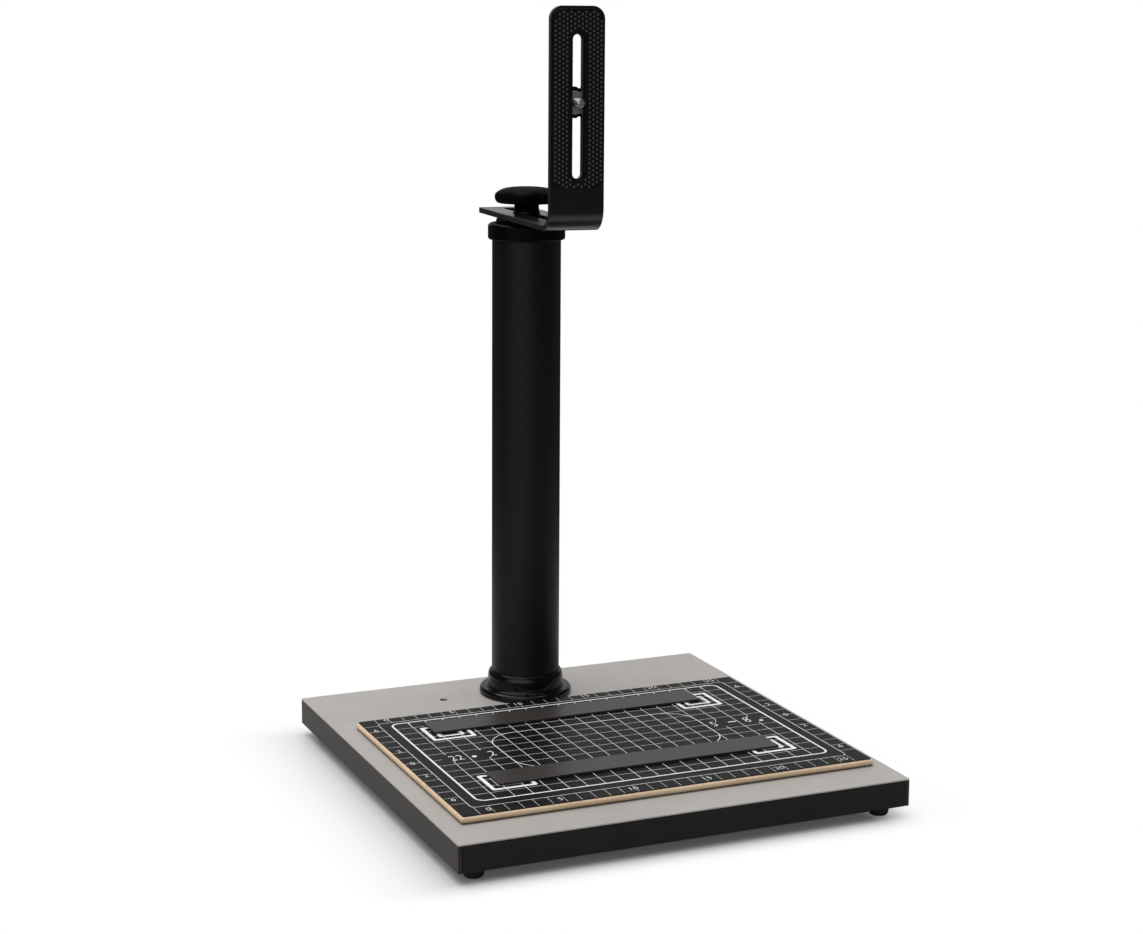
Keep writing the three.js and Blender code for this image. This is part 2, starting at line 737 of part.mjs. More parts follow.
function addBoard() {
  const { x, y, width, depth, thickness, edge, corner } = BOARD;
  const core = new THREE.ExtrudeGeometry(roundedRect(width, depth, edge + corner), {
    depth: thickness - edge * 2,
    bevelThickness: edge,
    bevelSize: edge,
    bevelOffset: -edge,
    bevelSegments: 3,
    curveSegments: 4,
  }).translate(0, 0, edge);
  place('board_core', solid(core), 'fibreboard', [x, y, BOARD_BOTTOM]);

  const sheet = roundedRect(width - SHEET.inset * 2, depth - SHEET.inset * 2, SHEET.corner);
  place('board_sheet', solid(prism(sheet, 0, SHEET.thickness, 4)), 'printedSheet', [x, y, SHEET_BOTTOM]);

  const stripOutline = roundedRect(STRIP.length, STRIP.width, STRIP.corner);
  const strip = solid(prism(stripOutline, 0, STRIP.thickness, CORNER_STEPS));
  place('magnetic_strip_back', strip, 'strip', [STRIP_BACK.x, STRIP_BACK.y, STRIP_BOTTOM]);
  place('magnetic_strip_front', strip, 'strip', [STRIP_FRONT.x, STRIP_FRONT.y, STRIP_BOTTOM]);
}

addBase();
addFeet();
addColumn();
addColumnBolt();
addCap();
addGuide();
addBar();
addPad();
addClamp();
addCameraScrew();
addBoard();

export default stand;
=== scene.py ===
"""Looks of a copy stand: smooth surfaces and finishes over the packed solids, light, floor and camera.

Shapes are worked out in millimetres and put into meshes in metres. Every piece keeps its object at the
origin, with its place in its mesh.
"""

import json
from math import cos, hypot, pi, radians, sin
from types import SimpleNamespace as Sizes

import bmesh
import bpy
import numpy as np
from mathutils import Matrix, Vector
from mathutils.geometry import tessellate_polygon


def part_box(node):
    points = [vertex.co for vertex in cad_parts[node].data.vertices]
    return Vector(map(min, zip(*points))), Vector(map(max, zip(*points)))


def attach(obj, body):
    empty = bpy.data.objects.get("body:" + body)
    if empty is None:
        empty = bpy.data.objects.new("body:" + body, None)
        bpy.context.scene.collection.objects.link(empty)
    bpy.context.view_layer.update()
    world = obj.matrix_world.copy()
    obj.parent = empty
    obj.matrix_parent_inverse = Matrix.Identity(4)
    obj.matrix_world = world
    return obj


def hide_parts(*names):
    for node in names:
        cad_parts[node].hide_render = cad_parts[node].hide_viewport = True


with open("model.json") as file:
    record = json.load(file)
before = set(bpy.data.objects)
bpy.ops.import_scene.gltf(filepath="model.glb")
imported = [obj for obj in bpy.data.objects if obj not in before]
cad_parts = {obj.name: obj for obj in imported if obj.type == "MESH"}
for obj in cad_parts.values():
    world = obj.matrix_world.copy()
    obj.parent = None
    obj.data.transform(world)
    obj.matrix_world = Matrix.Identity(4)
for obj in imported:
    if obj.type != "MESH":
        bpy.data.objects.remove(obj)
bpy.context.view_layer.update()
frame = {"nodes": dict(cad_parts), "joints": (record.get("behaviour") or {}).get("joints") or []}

MM = 0.001
UP = np.array([0.0, 0.0, 1.0])


# What the solids give: the column's axis, the arm's directions and each node's box


joints = {joint["name"]: joint for joint in frame["joints"]}
COLUMN_AXIS = np.array([*joints["arm_swivel"]["pos_m"][:2], 0.0]) / MM
FORWARD = np.array(joints["arm_slide"]["axis"], float)
ACROSS = np.cross(UP, FORWARD)


def low_high(node):
    """Lowest and highest corner of a node, in millimetres."""
    low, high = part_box(node)
    return np.array(low) / MM, np.array(high) / MM


def levels(node):
    """Lowest and highest height of a node, in millimetres."""
    low, high = low_high(node)
    return low[2], high[2]


# Surfaces


class Shape:
    """Points in millimetres, and faces as lists of point numbers."""

    def __init__(self, points, faces):
        self.points = np.asarray(points, float)
        self.faces = faces

    def __add__(self, other):
        step = len(self.points)
        shifted = [[corner + step for corner in face] for face in other.faces]
        return Shape(np.vstack([self.points, other.points]), self.faces + shifted)

    def moved(self, place, axes=np.eye(3)):
        """Each point becomes place + x times the first axis + y times the second + z times the third."""
        return Shape(np.asarray(place) + self.points @ np.asarray(axes), self.faces)


def joined(shapes):
    """Several shapes as one."""
    return sum(shapes, Shape(np.empty((0, 3)), []))


def unit(vectors):
    """Vectors divided by their lengths."""
    return vectors / np.maximum(np.linalg.norm(vectors, axis=-1, keepdims=True), 1e-12)


def grid(points, wrap=False):
    """Quads over rows of points: quad (i, j) joins point (i, j) to the next one in its row and to the
    two of the next row. A wrapped grid also joins the last column to the first."""
    rows, columns = points.shape[:2]
    number = np.arange(rows * columns).reshape(rows, columns)
    if wrap:
        number = np.hstack([number, number[:, :1]])
    quads = np.stack([number[:-1, :-1], number[:-1, 1:], number[1:, 1:], number[1:, :-1]], -1)
    return Shape(points.reshape(-1, 3), quads.reshape(-1, 4).tolist())


def rounded(corners, radii, steps=6):
    """A closed outline with its corners turned into arcs. An arc of radius r starts r / tan(half the
    corner's angle) before the corner. Its points are the arc's centre plus the first and the last
    spoke, weighted by the sines of the sweep still to go and of the sweep done."""
    corners = np.asarray(corners, float)
    radii = np.broadcast_to(np.asarray(radii, float), len(corners))
    back = unit(np.roll(corners, 1, 0) - corners)
    on = unit(np.roll(corners, -1, 0) - corners)
    half = np.arccos(np.clip((back * on).sum(1), -1, 1)) / 2
    setback = (radii / np.tan(half))[:, None]
    centre = corners + unit(back + on) * (radii / np.sin(half))[:, None]
    first = corners + back * setback - centre
    last = corners + on * setback - centre
    sweep = (pi - 2 * half)[:, None]
    done = np.linspace(0, 1, steps + 1)
    to_go = (np.sin((1 - done) * sweep) / np.sin(sweep))[..., None]
    gone = (np.sin(done * sweep) / np.sin(sweep))[..., None]
    arcs = centre[:, None] + to_go * first[:, None] + gone * last[:, None]
    wanted = (radii > 0)[:, None] | (done == 0)
    outline = arcs[wanted]
    apart = np.linalg.norm(outline - np.roll(outline, 1, 0), axis=1) > 1e-6
    return outline[apart]


def rectangle(width, depth, radius, centre=(0, 0), steps=6):
    """A rectangle with round corners, counterclockwise."""
    x, y = width / 2, depth / 2
    return rounded([[-x, -y], [x, -y], [x, y], [-x, y]], radius, steps) + np.asarray(centre)


def around(sides):
    """Evenly spaced angles of a full turn."""
    return np.linspace(0, 2 * pi, sides, endpoint=False)


def circle(radius, centre=(0, 0), sides=48):
    """A circle: centre plus radius times the cosine and sine of evenly spaced angles."""
    angle = around(sides)
    return np.asarray(centre) + radius * np.stack([np.cos(angle), np.sin(angle)], 1)


def drawn_in(outline, distance):
    """An outline moved inwards. Each point moves along the sum of the normals of its two sides,
    divided by 1 + their dot product, which keeps both sides parallel to where they were."""
    side = unit(np.roll(outline, -1, 0) - outline)
    normal = np.stack([-side[:, 1], side[:, 0]], 1)
    before = np.roll(normal, 1, 0)
    share = 1 + (normal * before).sum(1, keepdims=True)
    return outline + distance * (normal + before) / share


def cap(rings, height):
    """A flat face at one height inside the first ring and outside the others."""
    polygons = [[Vector((x, y, 0)) for x, y in ring] for ring in rings]
    flat = np.vstack(rings)
    points = np.column_stack([flat, np.full(len(flat), height)])
    return Shape(points, [list(triangle) for triangle in tessellate_polygon(polygons)])


def slab(outline, low, high, holes=(), arris=(0, 0), steps=3):
    """A plate between two heights with rounded arrises. At angle a of an arris of radius r the side
    stands r (1 - sin a) inside the outline, r (1 - cos a) away from the face."""
    lower, upper = arris
    below = np.linspace(0, pi / 2, steps + 1) if lower else np.array([pi / 2])
    above = np.linspace(pi / 2, 0, steps + 1) if upper else np.array([pi / 2])
    inside = np.concatenate([lower * (1 - np.sin(below)), upper * (1 - np.sin(above))])
    height = np.concatenate([low + lower * (1 - np.cos(below)), high - upper * (1 - np.cos(above))])
    walls, bottoms, tops = [], [], []
    for loop, sign in [(outline, 1), *[(hole, -1) for hole in holes]]:
        rings = [drawn_in(loop, sign * distance) for distance in inside]
        bottoms.append(rings[0])
        tops.append(rings[-1])
        tall = np.repeat(height[:, None], len(loop), 1)
        walls.append(grid(np.concatenate([np.array(rings), tall[..., None]], -1), wrap=True))
    return joined([*walls, cap(bottoms, low), cap(tops, high)])


def about_z(radius, height, angle):
    """Rows of points about Z: the radius times the angle's cosine and sine, and the height."""
    return np.stack([radius * np.cos(angle), radius * np.sin(angle), height + 0 * angle], -1)


def turned(profile, sides=96, press=None):
    """A profile of (radius, height) points carried round Z: point (i, j) stands at radius i and
    height i, at angle j. A profile that doesn't start on the axis closes on itself."""
    profile = np.asarray(profile, float)
    if profile[0, 0] > 0:
        profile = np.vstack([profile, profile[:1]])
    angle = around(sides)
    radius = np.repeat(profile[:, :1], sides, 1)
    if press:
        radius = press(radius, angle)
    return grid(about_z(radius, profile[:, 1:], angle), wrap=True)


def hollows(count, dip, widest):
    """A press that sinks hollows into a turned side: the radius is multiplied by 1 - dip / widest
    times wave to the power 1.4 times (radius / widest) to the power 5, where the wave is half of
    1 - cos(count times the angle)."""

    def press(radius, angle):
        wave = 0.5 - 0.5 * np.cos(count * angle)
        return radius * (1 - dip / widest * wave**1.4 * (radius / widest) ** 5)

    return press


def threaded(radius, length, pitch, depth, point, sides=40, steps=10):
    """A screw: the radius falls by the depth times half of 1 - cos of the turns (height / pitch -
    angle / full turn), and by as much as the height is nearer than the point's length to an end."""
    height = np.linspace(0, length, int(length / pitch * steps))[:, None]
    angle = around(sides)
    groove = 0.5 - 0.5 * np.cos(2 * pi * height / pitch - angle)
    near_end = np.minimum(height, length - height)
    wall = radius - depth * groove - np.clip(point - near_end, 0, None)
    rows = about_z(wall, height, angle)
    foot = np.zeros_like(rows[:1])
    return grid(np.concatenate([foot, rows, foot + length * UP]), wrap=True)


def repeated(points, quads):
    """Many copies of one shape, from every copy's points and the quads of one copy."""
    copies, size = points.shape[:2]
    quads = np.array(quads)[None] + size * np.arange(copies)[:, None, None]
    return Shape(points.reshape(-1, 3), quads.reshape(-1, 4).tolist())


def boxes(low, high):
    """Many boxes at once, from arrays of their lowest and highest corners."""
    low, high = np.atleast_2d(low).astype(float), np.atleast_2d(high).astype(float)
    pick = np.array([[x, y, z] for z in (0, 1) for y in (0, 1) for x in (0, 1)])
    points = np.where(pick[None], high[:, None], low[:, None])
    sides = [[0, 2, 3, 1], [4, 5, 7, 6], [0, 1, 5, 4], [1, 3, 7, 5], [3, 2, 6, 7], [2, 0, 4, 6]]
    return repeated(points, sides)


def shape_of(mesh):
    """A mesh's points and faces as a shape."""
    flat = np.zeros(len(mesh.vertices) * 3, np.float32)
    mesh.vertices.foreach_get("co", flat)
    return Shape(flat.reshape(-1, 3), [list(polygon.vertices) for polygon in mesh.polygons])


def sliced(shape, direction, distances):
    """The same shape with more points where planes at these distances along a direction cut it."""
    mesh = bpy.data.meshes.new("sliced")
    mesh.from_pydata(shape.points.tolist(), [], shape.faces)
    work = bmesh.new()
    work.from_mesh(mesh)
    bmesh.ops.remove_doubles(work, verts=work.verts, dist=0.001)
    for distance in distances:
        every = [*work.verts, *work.edges, *work.faces]
        place = Vector(direction) * float(distance)
        bmesh.ops.bisect_plane(work, geom=every, plane_co=place, plane_no=Vector(direction))
    work.to_mesh(mesh)
    work.free()
    cut = shape_of(mesh)
    bpy.data.meshes.remove(mesh)
    return cut


# Finishes


def shade(red, green, blue):
    """A display colour, 0 to 255, as the linear colour that a shader takes: ((c + 0.055) / 1.055)
    to the power 2.4, or c / 12.92 where it is very dark."""
    display = np.array([red, green, blue]) / 255
    linear = np.where(display > 0.04045, ((display + 0.055) / 1.055) ** 2.4, display / 12.92)
    return (*linear.tolist(), 1.0)


def arithmetic(operation, swapped=False):
    """A method that adds a Math node for an operation on a wire and another value."""

    def calculate(wire, other):
        first, second = (other, wire) if swapped else (wire, other)
        return wire.graph.node("ShaderNodeMath", {"operation": operation}, {0: first, 1: second})

    return calculate


class Wire:
    """A value that leaves a node. Arithmetic on it adds Math nodes."""

    def __init__(self, graph, socket):
        self.graph = graph
        self.socket = socket

    __add__, __radd__ = arithmetic("ADD"), arithmetic("ADD", True)
    __sub__, __rsub__ = arithmetic("SUBTRACT"), arithmetic("SUBTRACT", True)
    __mul__, __rmul__ = arithmetic("MULTIPLY"), arithmetic("MULTIPLY", True)


class Graph:
    """The nodes of a finish or of the room's light."""

    def __init__(self, owner):
        owner.use_nodes = True
        self.tree = owner.node_tree

    def node(self, kind, settings=None, sockets=None, out=0):
        """Adds a node: its settings first, then values or wires for its sockets."""
        made = self.tree.nodes.new(kind)
        for name, value in (settings or {}).items():
            setattr(made, name, value)
        self.fill(made, sockets or {})
        return Wire(self, made.outputs[out])

    def fill(self, node, sockets):
        """Links the wires and sets the plain values of a node's sockets."""
        for name, value in sockets.items():
            if isinstance(value, Wire):
                self.tree.links.new(value.socket, node.inputs[name])
            else:
                node.inputs[name].default_value = value

    def place(self):
        """The object's own coordinates."""
        return self.node("ShaderNodeTexCoord", out="Object")

    def stretched(self, x, y, z):
        """The object's own coordinates, scaled along each axis."""
        return self.node("ShaderNodeMapping", sockets={"Vector": self.place(), "Scale": (x, y, z)})

    def part(self, vector, axis):
        """One part of a vector, where 0, 1 and 2 stand for X, Y and Z."""
        return self.node("ShaderNodeSeparateXYZ", sockets={0: vector}, out=axis)

    def vector(self, operation, first, second=None, out=0):
        """Arithmetic on one or two vectors."""
        sockets = {0: first} if second is None else {0: first, 1: second}
        return self.node("ShaderNodeVectorMath", {"operation": operation}, sockets, out)

    def along(self, vector, direction):
        """The dot product of a vector and a direction."""
        return self.vector("DOT_PRODUCT", vector, direction, "Value")

    def ray(self, kind):
        """1 for a ray of this kind, and 0 for any other."""
        return self.node("ShaderNodeLightPath", out=f"Is {kind} Ray")

    def noise(self, scale, detail=2, roughness=0.5, place=None):
        """Cloudy noise from 0 to 1; the scale is in waves to a metre."""
        place = place or self.place()
        sockets = {"Vector": place, "Scale": scale, "Detail": detail, "Roughness": roughness}
        return self.node("ShaderNodeTexNoise", sockets=sockets, out="Fac")

    def cells(self, scale, place=None, feature="F1", out="Distance"):
        """Distance to the nearest of scattered points, or their colours."""
        sockets = {"Vector": place or self.place(), "Scale": scale}
        return self.node("ShaderNodeTexVoronoi", {"feature": feature}, sockets, out)

    def fade(self, value, start, end, low=0.0, high=1.0):
        """A value carried smoothly from low at the start to high at the end."""
        sockets = {"Value": value, "From Min": start, "From Max": end, "To Min": low, "To Max": high}
        return self.node("ShaderNodeMapRange", {"interpolation_type": "SMOOTHSTEP"}, sockets)

    def blend(self, share, first, second):
        """One colour turning into another as the share goes from 0 to 1."""
        return self.node("ShaderNodeMix", {"data_type": "RGBA"}, {0: share, 6: first, 7: second}, out=2)

    def bumps(self, height, depth):
        """A normal from a height map, whose full range stands for this depth in metres."""
        return self.node("ShaderNodeBump", sockets={"Height": height, "Distance": depth})


class Finish(Graph):
    """One material. The sockets that stay the same all over it are set on its shader."""

    def __init__(self, name, **sockets):
        self.material = bpy.data.materials.new(name)
        super().__init__(self.material)
        self.shader = self.tree.nodes["Principled BSDF"]
        self.fill(self.shader, {socket.replace("_", " "): value for socket, value in sockets.items()})

    def look(self, colour, roughness, height, depth):
        """Sets the colour, the roughness and bumps of this depth, and hands the finish back."""
        normal = self.bumps(height, depth)
        self.fill(self.shader, {"Base Color": colour, "Roughness": roughness, "Normal": normal})
        return self


def laminate():
    """Warm grey laminate: faint clouds, fine streaks along the board and a few rubbed places."""
    finish = Finish("laminate", IOR=1.48)
    clouds = finish.noise(14, 4, 0.6)
    streaks = finish.noise(60, 3, 0.6, finish.stretched(1, 22, 1))
    grain = finish.noise(2600, 1)
    tone = 0.5 + 0.9 * (clouds - 0.5) + 0.7 * (streaks - 0.5) + 0.9 * (grain - 0.5)
    colour = finish.blend(tone, shade(165, 161, 156), shade(189, 185, 180))
    wear_and_painted_highlight = finish.fade(finish.noise(35, 3), 0.55, 0.75)
    roughness = 0.42 + 0.1 * wear_and_painted_highlight + 0.08 * (grain - 0.5)
    return finish.look(colour, roughness, grain + streaks, 0.00004)


def edging(name, dark, pale):
    """Edge band: a pebbled grain, dusted paler in places."""
    finish = Finish(name, IOR=1.5, Specular_IOR_Level=0.19)
    dust = finish.noise(45, 5, 0.65)
    speck = finish.fade(finish.noise(900, 2), 0.6, 0.8)
    share = finish.fade(dust, 0.3, 0.75) * 0.6 + speck * 0.6
    return finish.look(finish.blend(share, dark, pale), 0.36 + 0.16 * dust, finish.cells(1100), 0.00006)


def backer():
    """Plain brown-grey backing sheet with a papery fleck."""
    finish = Finish("backer", IOR=1.45)
    fleck = finish.noise(700, 3, 0.7)
    clouds = finish.noise(20, 3)
    colour = finish.blend(0.6 * fleck + 0.4 * clouds, shade(94, 88, 80), shade(128, 121, 112))
    return finish.look(colour, 0.6 + 0.2 * fleck, fleck, 0.00005)


def chipboard():
    """Pressed chips: cells of many browns with dark gaps between them."""
    finish = Finish("chipboard")
    place = finish.stretched(1, 1, 2.5)
    tone = finish.node("ShaderNodeRGBToBW", sockets={0: finish.cells(480, place, out="Color")})
    gap = finish.cells(480, place, "DISTANCE_TO_EDGE")
    brown = finish.blend(tone, shade(122, 88, 52), shade(205, 170, 122))
    colour = finish.blend(finish.fade(gap, 0.0, 0.06), shade(62, 44, 28), brown)
    return finish.look(colour, 0.85, gap, 0.0003)


def column_paint():
    """Satin black enamel with a fine orange peel."""
    finish = Finish("column_paint", IOR=1.5, Specular_IOR_Level=0.24)
    haze = finish.noise(18, 3)
    colour = finish.blend(haze, shade(9, 9, 9), shade(14, 14, 14))
    return finish.look(colour, 0.36 + 0.1 * haze, finish.noise(620, 2, 0.45), 0.00004)


def flange_gloss():
    """Glossy black enamel, thick and a little wavy."""
    finish = Finish("flange_gloss", IOR=1.52, Specular_IOR_Level=0.24)
    dust = finish.fade(finish.noise(1500, 2), 0.62, 0.75)
    colour = finish.blend(dust, shade(9, 9, 10), shade(34, 34, 35))
    return finish.look(colour, 0.13 + 0.1 * dust, finish.noise(120, 2), 0.00012)


def moulded(name, dark, pale, roughness, gloss):
    """Moulded black plastic: a fine spark-eroded grain and slightly burnished patches."""
    finish = Finish(name, IOR=1.49, Specular_IOR_Level=gloss)
    grain = finish.noise(900, 3, 0.6)
    burnish = finish.noise(70, 3)
    colour = finish.blend(0.6 * grain + 0.4 * burnish, dark, pale)
    return finish.look(colour, roughness - 0.08 + 0.16 * burnish, grain, 0.00005)


def bracket_paint():
    """Black powder coat: a shallow leathery texture, brighter where it has been rubbed."""
    finish = Finish("bracket_paint", IOR=1.5)
    rub = finish.fade(finish.noise(60, 4, 0.6, finish.stretched(1, 0.3, 0.3)), 0.5, 0.8)
    colour = finish.blend(rub, shade(13, 13, 13), shade(22, 22, 23))
    return finish.look(colour, 0.22 - 0.06 * rub, finish.noise(800, 3, 0.55), 0.00005)


def foot_rubber():
    """Matt rubber with a chalky bloom."""
    finish = Finish("foot_rubber", IOR=1.45)
    bloom = finish.noise(160, 4, 0.6)
    colour = finish.blend(bloom, shade(17, 17, 17), shade(28, 28, 27))
    return finish.look(colour, 0.62 + 0.2 * bloom, finish.noise(1800, 2), 0.00006)


def dotted_rubber(face):
    """Rubber whose raised dots carry a painted highlight: the colour turns pale over the dots' height,
    read along the arm as the coordinates' dot product with the forward direction."""
    finish = Finish("pad_rubber", IOR=1.45, Specular_IOR_Level=0.2)
    bloom = finish.noise(160, 4, 0.6)
    reach = finish.along(finish.place(), tuple(FORWARD))
    start = (face + float(COLUMN_AXIS @ FORWARD)) * MM
    # Painted highlight: the dot tops are coloured paler in place of the light they would catch.
    wear_and_painted_highlight = finish.fade(reach, start + 0.0001, start + 0.0004)
    ground = finish.blend(bloom, shade(5, 5, 6), shade(11, 11, 12))
    colour = finish.blend(0.8 * wear_and_painted_highlight, ground, shade(78, 78, 79))
    return finish.look(colour, 0.6 + 0.2 * bloom, finish.noise(1800, 2), 0.00006)


def plated(name, dark, pale, roughness, stretch=(1, 1, 1)):
    """Bare or plated metal with fine tool marks and cloudy tarnish."""
    finish = Finish(name, Metallic=1.0)
    marks = finish.noise(900, 3, 0.6, finish.stretched(*stretch))
    tarnish = finish.noise(90, 4, 0.6)
    colour = finish.blend(0.5 * marks + 0.5 * tarnish, dark, pale)
    return finish.look(colour, roughness - 0.08 + 0.16 * tarnish, marks, 0.00003)


def fibreboard():
    """Tan pressed fibre, with shade painted darker towards its foot, and specked with rubbed ink near
    its top.
    """
    finish = Finish("fibreboard", IOR=1.45)
    fibres = finish.noise(260, 5, 0.7, finish.stretched(1, 1, 4))
    patches = finish.noise(22, 3)
    tone = 0.5 + 0.8 * (fibres - 0.5) + 0.8 * (patches - 0.5)
    clean = finish.blend(tone, shade(218, 184, 147), shade(252, 229, 199))
    low, high = levels("board_core")
    height = finish.part(finish.place(), 2)
    # Painted shade: the colour darkens towards the board's foot in place of the shadow under it; the
    # rubbed ink near the top is wear.
    foot_shade_and_ink = finish.fade(height + 0.0006 * patches, low * MM, (low + 2.9) * MM, 0.94, 0.0)
    rubbed_ink = finish.fade(finish.noise(700, 3), 0.56, 0.66) * 0.5
    foot_shade_and_ink = foot_shade_and_ink + rubbed_ink * finish.fade(height, (high - 1.3) * MM, high * MM)
    colour = finish.blend(foot_shade_and_ink, clean, shade(58, 42, 27))
    return finish.look(colour, 0.62 + 0.15 * fibres, fibres, 0.00012)


def printed_sheet():
    """Black coated sheet steel: satin, with faint smears."""
    finish = Finish("printed_sheet", IOR=1.5, Specular_IOR_Level=0.15)
    smear = finish.noise(16, 4, 0.6, finish.stretched(1, 2.4, 1))
    colour = finish.blend(smear, shade(8, 8, 8), shade(15, 15, 15))
    return finish.look(colour, 0.36 + 0.14 * smear, finish.noise(1400, 2), 0.00002)


def ink(name, colour, worn):
    """Screen-printed ink, thinner in small worn spots."""
    finish = Finish(name, IOR=1.45, Roughness=0.55)
    wear = finish.fade(finish.noise(420, 4, 0.65), 0.5, 0.72)
    finish.fill(finish.shader, {"Base Color": finish.blend(wear, colour, worn)})
    return finish


def magnet_strip():
    """Dark magnetic sheet: warm grey with long rolling streaks."""
    finish = Finish("magnet_strip", IOR=1.48)
    streaks = finish.noise(40, 4, 0.6, finish.stretched(1, 14, 1))
    tooth = finish.noise(1300, 2)
    tone = 0.5 + 0.9 * (streaks - 0.5) + 0.3 * (tooth - 0.5)
    colour = finish.blend(tone, shade(41, 37, 35), shade(66, 62, 59))
    return finish.look(colour, 0.3 + 0.12 * streaks, streaks + tooth, 0.00004)


LAMINATE = laminate()
EDGING = edging("edging", shade(15, 15, 15), shade(33, 32, 31))
# A paler, warmer copy of the edging for the side bands: painted light, for the light that falls on the
# sides from the left.
LIT_SIDE_EDGING = edging("edging_lit_sides", shade(34, 30, 27), shade(66, 57, 49))
BACKER = backer()
CHIPBOARD = chipboard()
FOOT_RUBBER = foot_rubber()
ZINC = plated("zinc_steel", shade(150, 152, 155), shade(205, 206, 208), 0.34)
BLACKENED = plated("blackened_steel", shade(34, 34, 35), shade(58, 58, 60), 0.4)
ALUMINIUM = plated("plug_aluminium", shade(165, 168, 171), shade(208, 209, 211), 0.38, (1, 1, 6))
BRASS = plated("insert_brass", shade(160, 122, 62), shade(212, 176, 104), 0.34)
COLUMN_PAINT = column_paint()
FLANGE_GLOSS = flange_gloss()
CAP_PLASTIC = moulded("cap_plastic", shade(4, 4, 4), shade(8, 8, 8), 0.32, 0.06)
KNOB_PLASTIC = moulded("knob_plastic", shade(6, 6, 6), shade(12, 12, 12), 0.56, 0.035)
BRACKET_PAINT = bracket_paint()
FIBREBOARD = fibreboard()
PRINTED_SHEET = printed_sheet()
WHITE_INK = ink("white_ink", shade(247, 247, 245), shade(206, 206, 204))
LINE_INK = ink("line_ink", shade(226, 226, 224), shade(166, 166, 164))
MAGNET_STRIP = magnet_strip()


# Pieces


CREASE = radians(40)
SAME_POINT = 2e-6


def linked(name, data):
    """A new object in the scene."""
    made = bpy.data.objects.new(name, data)
    bpy.context.collection.objects.link(made)
    return made


def piece(name, shape, finish, body, replaces=()):
    """Puts a shape into a mesh as one piece. Points that coincide are merged and faces turned
    outwards, then the surface is smooth except across edges sharper than the crease."""
    mesh = bpy.data.meshes.new(name)
    mesh.from_pydata((shape.points * MM).tolist(), [], shape.faces)
    work = bmesh.new()
    work.from_mesh(mesh)
    bmesh.ops.remove_doubles(work, verts=work.verts, dist=SAME_POINT)
    bmesh.ops.recalc_face_normals(work, faces=work.faces)
    work.to_mesh(mesh)
    work.free()
    mesh.shade_smooth()
    mesh.set_sharp_from_angle(angle=CREASE)
    mesh.materials.append(finish.material)
    made = linked(name, mesh)
    made.modifiers.new("even_shading", "WEIGHTED_NORMAL").keep_sharp = True
    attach(made, body)
    if replaces:
        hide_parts(*replaces)


def dress(node, finish):
    """Gives a node of the frame its finish."""
    slots = frame["nodes"][node].data.materials
    slots.clear()
    slots.append(finish.material)


def on_column(shape, height=0.0):
    """A shape drawn about Z, stood on the column's axis."""
    return shape.moved(COLUMN_AXIS + height * UP)


def on_arm(shape, distance, height):
    """A shape drawn about its own Z, laid along the arm with its Z forward and its Y up."""
    return shape.moved(COLUMN_AXIS + distance * FORWARD + height * UP, [ACROSS, UP, FORWARD])


def ring(inner, outer, low, high, arris=0.3, sides=96):
    """A flat turned ring with rounded outer arrises."""
    corners = [[inner, low], [outer, low], [outer, high], [inner, high]]
    return turned(rounded(corners, [0, arris, arris, 0], 3), sides)


BASE = Sizes(corner=1.2, arris=0.35, edge_corner=0.8, edge_arris=0.4)
BASE_HOLE = Sizes(x=-65, y=122.5, radius=3.0, depth=14)
BOLT_HOLE_RADIUS = 5.6
LINING = Sizes(inset=0.06, wall=0.03, lift=0.02, floor=0.01)
FOOT = Sizes(top=8.0, bottom=6.2, recess=3.4, hole=2.05, seat=3.5)
FOOT_ROUNDS = [0.3, 1.8, 0.4, 0, 0, 0]
SCREW = Sizes(face=2.2, head=3.1, bevel=1.1, height=2.2, shank=1.75, tip=4)
SCREW_ROUNDS = [0, 0.8, 0.3, 0.2, 0.2, 0.5, 0]
SCREW_SLOT = Sizes(reach=2.0, half_width=0.35, below=0.01, above=0.02)


def middle(node):
    """Middle of a node's box, in millimetres."""
    low, high = low_high(node)
    return (low + high) / 2


def flat_size(node):
    """Width and depth of a node's box, in millimetres."""
    low, high = low_high(node)
    return (high - low)[:2]


def plate(node, corner, arris, outline_steps=6, arris_steps=3, holes=()):
    """A plate with round corners, as large as a node's box."""
    outline = rectangle(*flat_size(node), corner, middle(node)[:2], outline_steps)
    return slab(outline, *levels(node), holes, arris, arris_steps)


def add_base():
    """The laminated board: top sheet, core with a small blind hole, backing, four edge bands, and
    the column's bolt below."""
    hole_place = middle("top_laminate")[:2] + [BASE_HOLE.x, BASE_HOLE.y]
    holes = [circle(BASE_HOLE.radius, hole_place, 32), circle(BOLT_HOLE_RADIUS, COLUMN_AXIS[:2])]
    sheet = plate("top_laminate", BASE.corner, (0, BASE.arris), holes=holes)
    piece("grey_top", sheet, LAMINATE, "base", ["top_laminate"])

    for side in ("left", "right", "front", "back"):
        node = f"edge_strip_{side}"
        band = plate(node, BASE.edge_corner, (BASE.edge_arris, BASE.edge_arris), 4)
        # The left and right bands take the copy of the edging painted lighter for the light from the
        # left.
        finish = LIT_SIDE_EDGING if side in ("left", "right") else EDGING
        piece(f"edge_band_{side}", band, finish, "base", [node])

    dress("base_core", CHIPBOARD)
    dress("bottom_laminate", BACKER)
    dress("column_bolt", ZINC)
    dress("bolt_washer", ZINC)

    # A smooth lining for the blind hole, a hair inside the core's own facets
    top = levels("base_core")[1]
    floor = levels("top_laminate")[1] - BASE_HOLE.depth + LINING.lift
    below = floor - LINING.floor
    radius = BASE_HOLE.radius - LINING.inset
    wall = radius + LINING.wall
    profile = [[0, below], [wall, below], [wall, top], [radius, top], [radius, floor], [0, floor]]
    lining = turned(profile, 32).moved([*hole_place, 0])
    piece("hole_lining", lining, CHIPBOARD, "base")


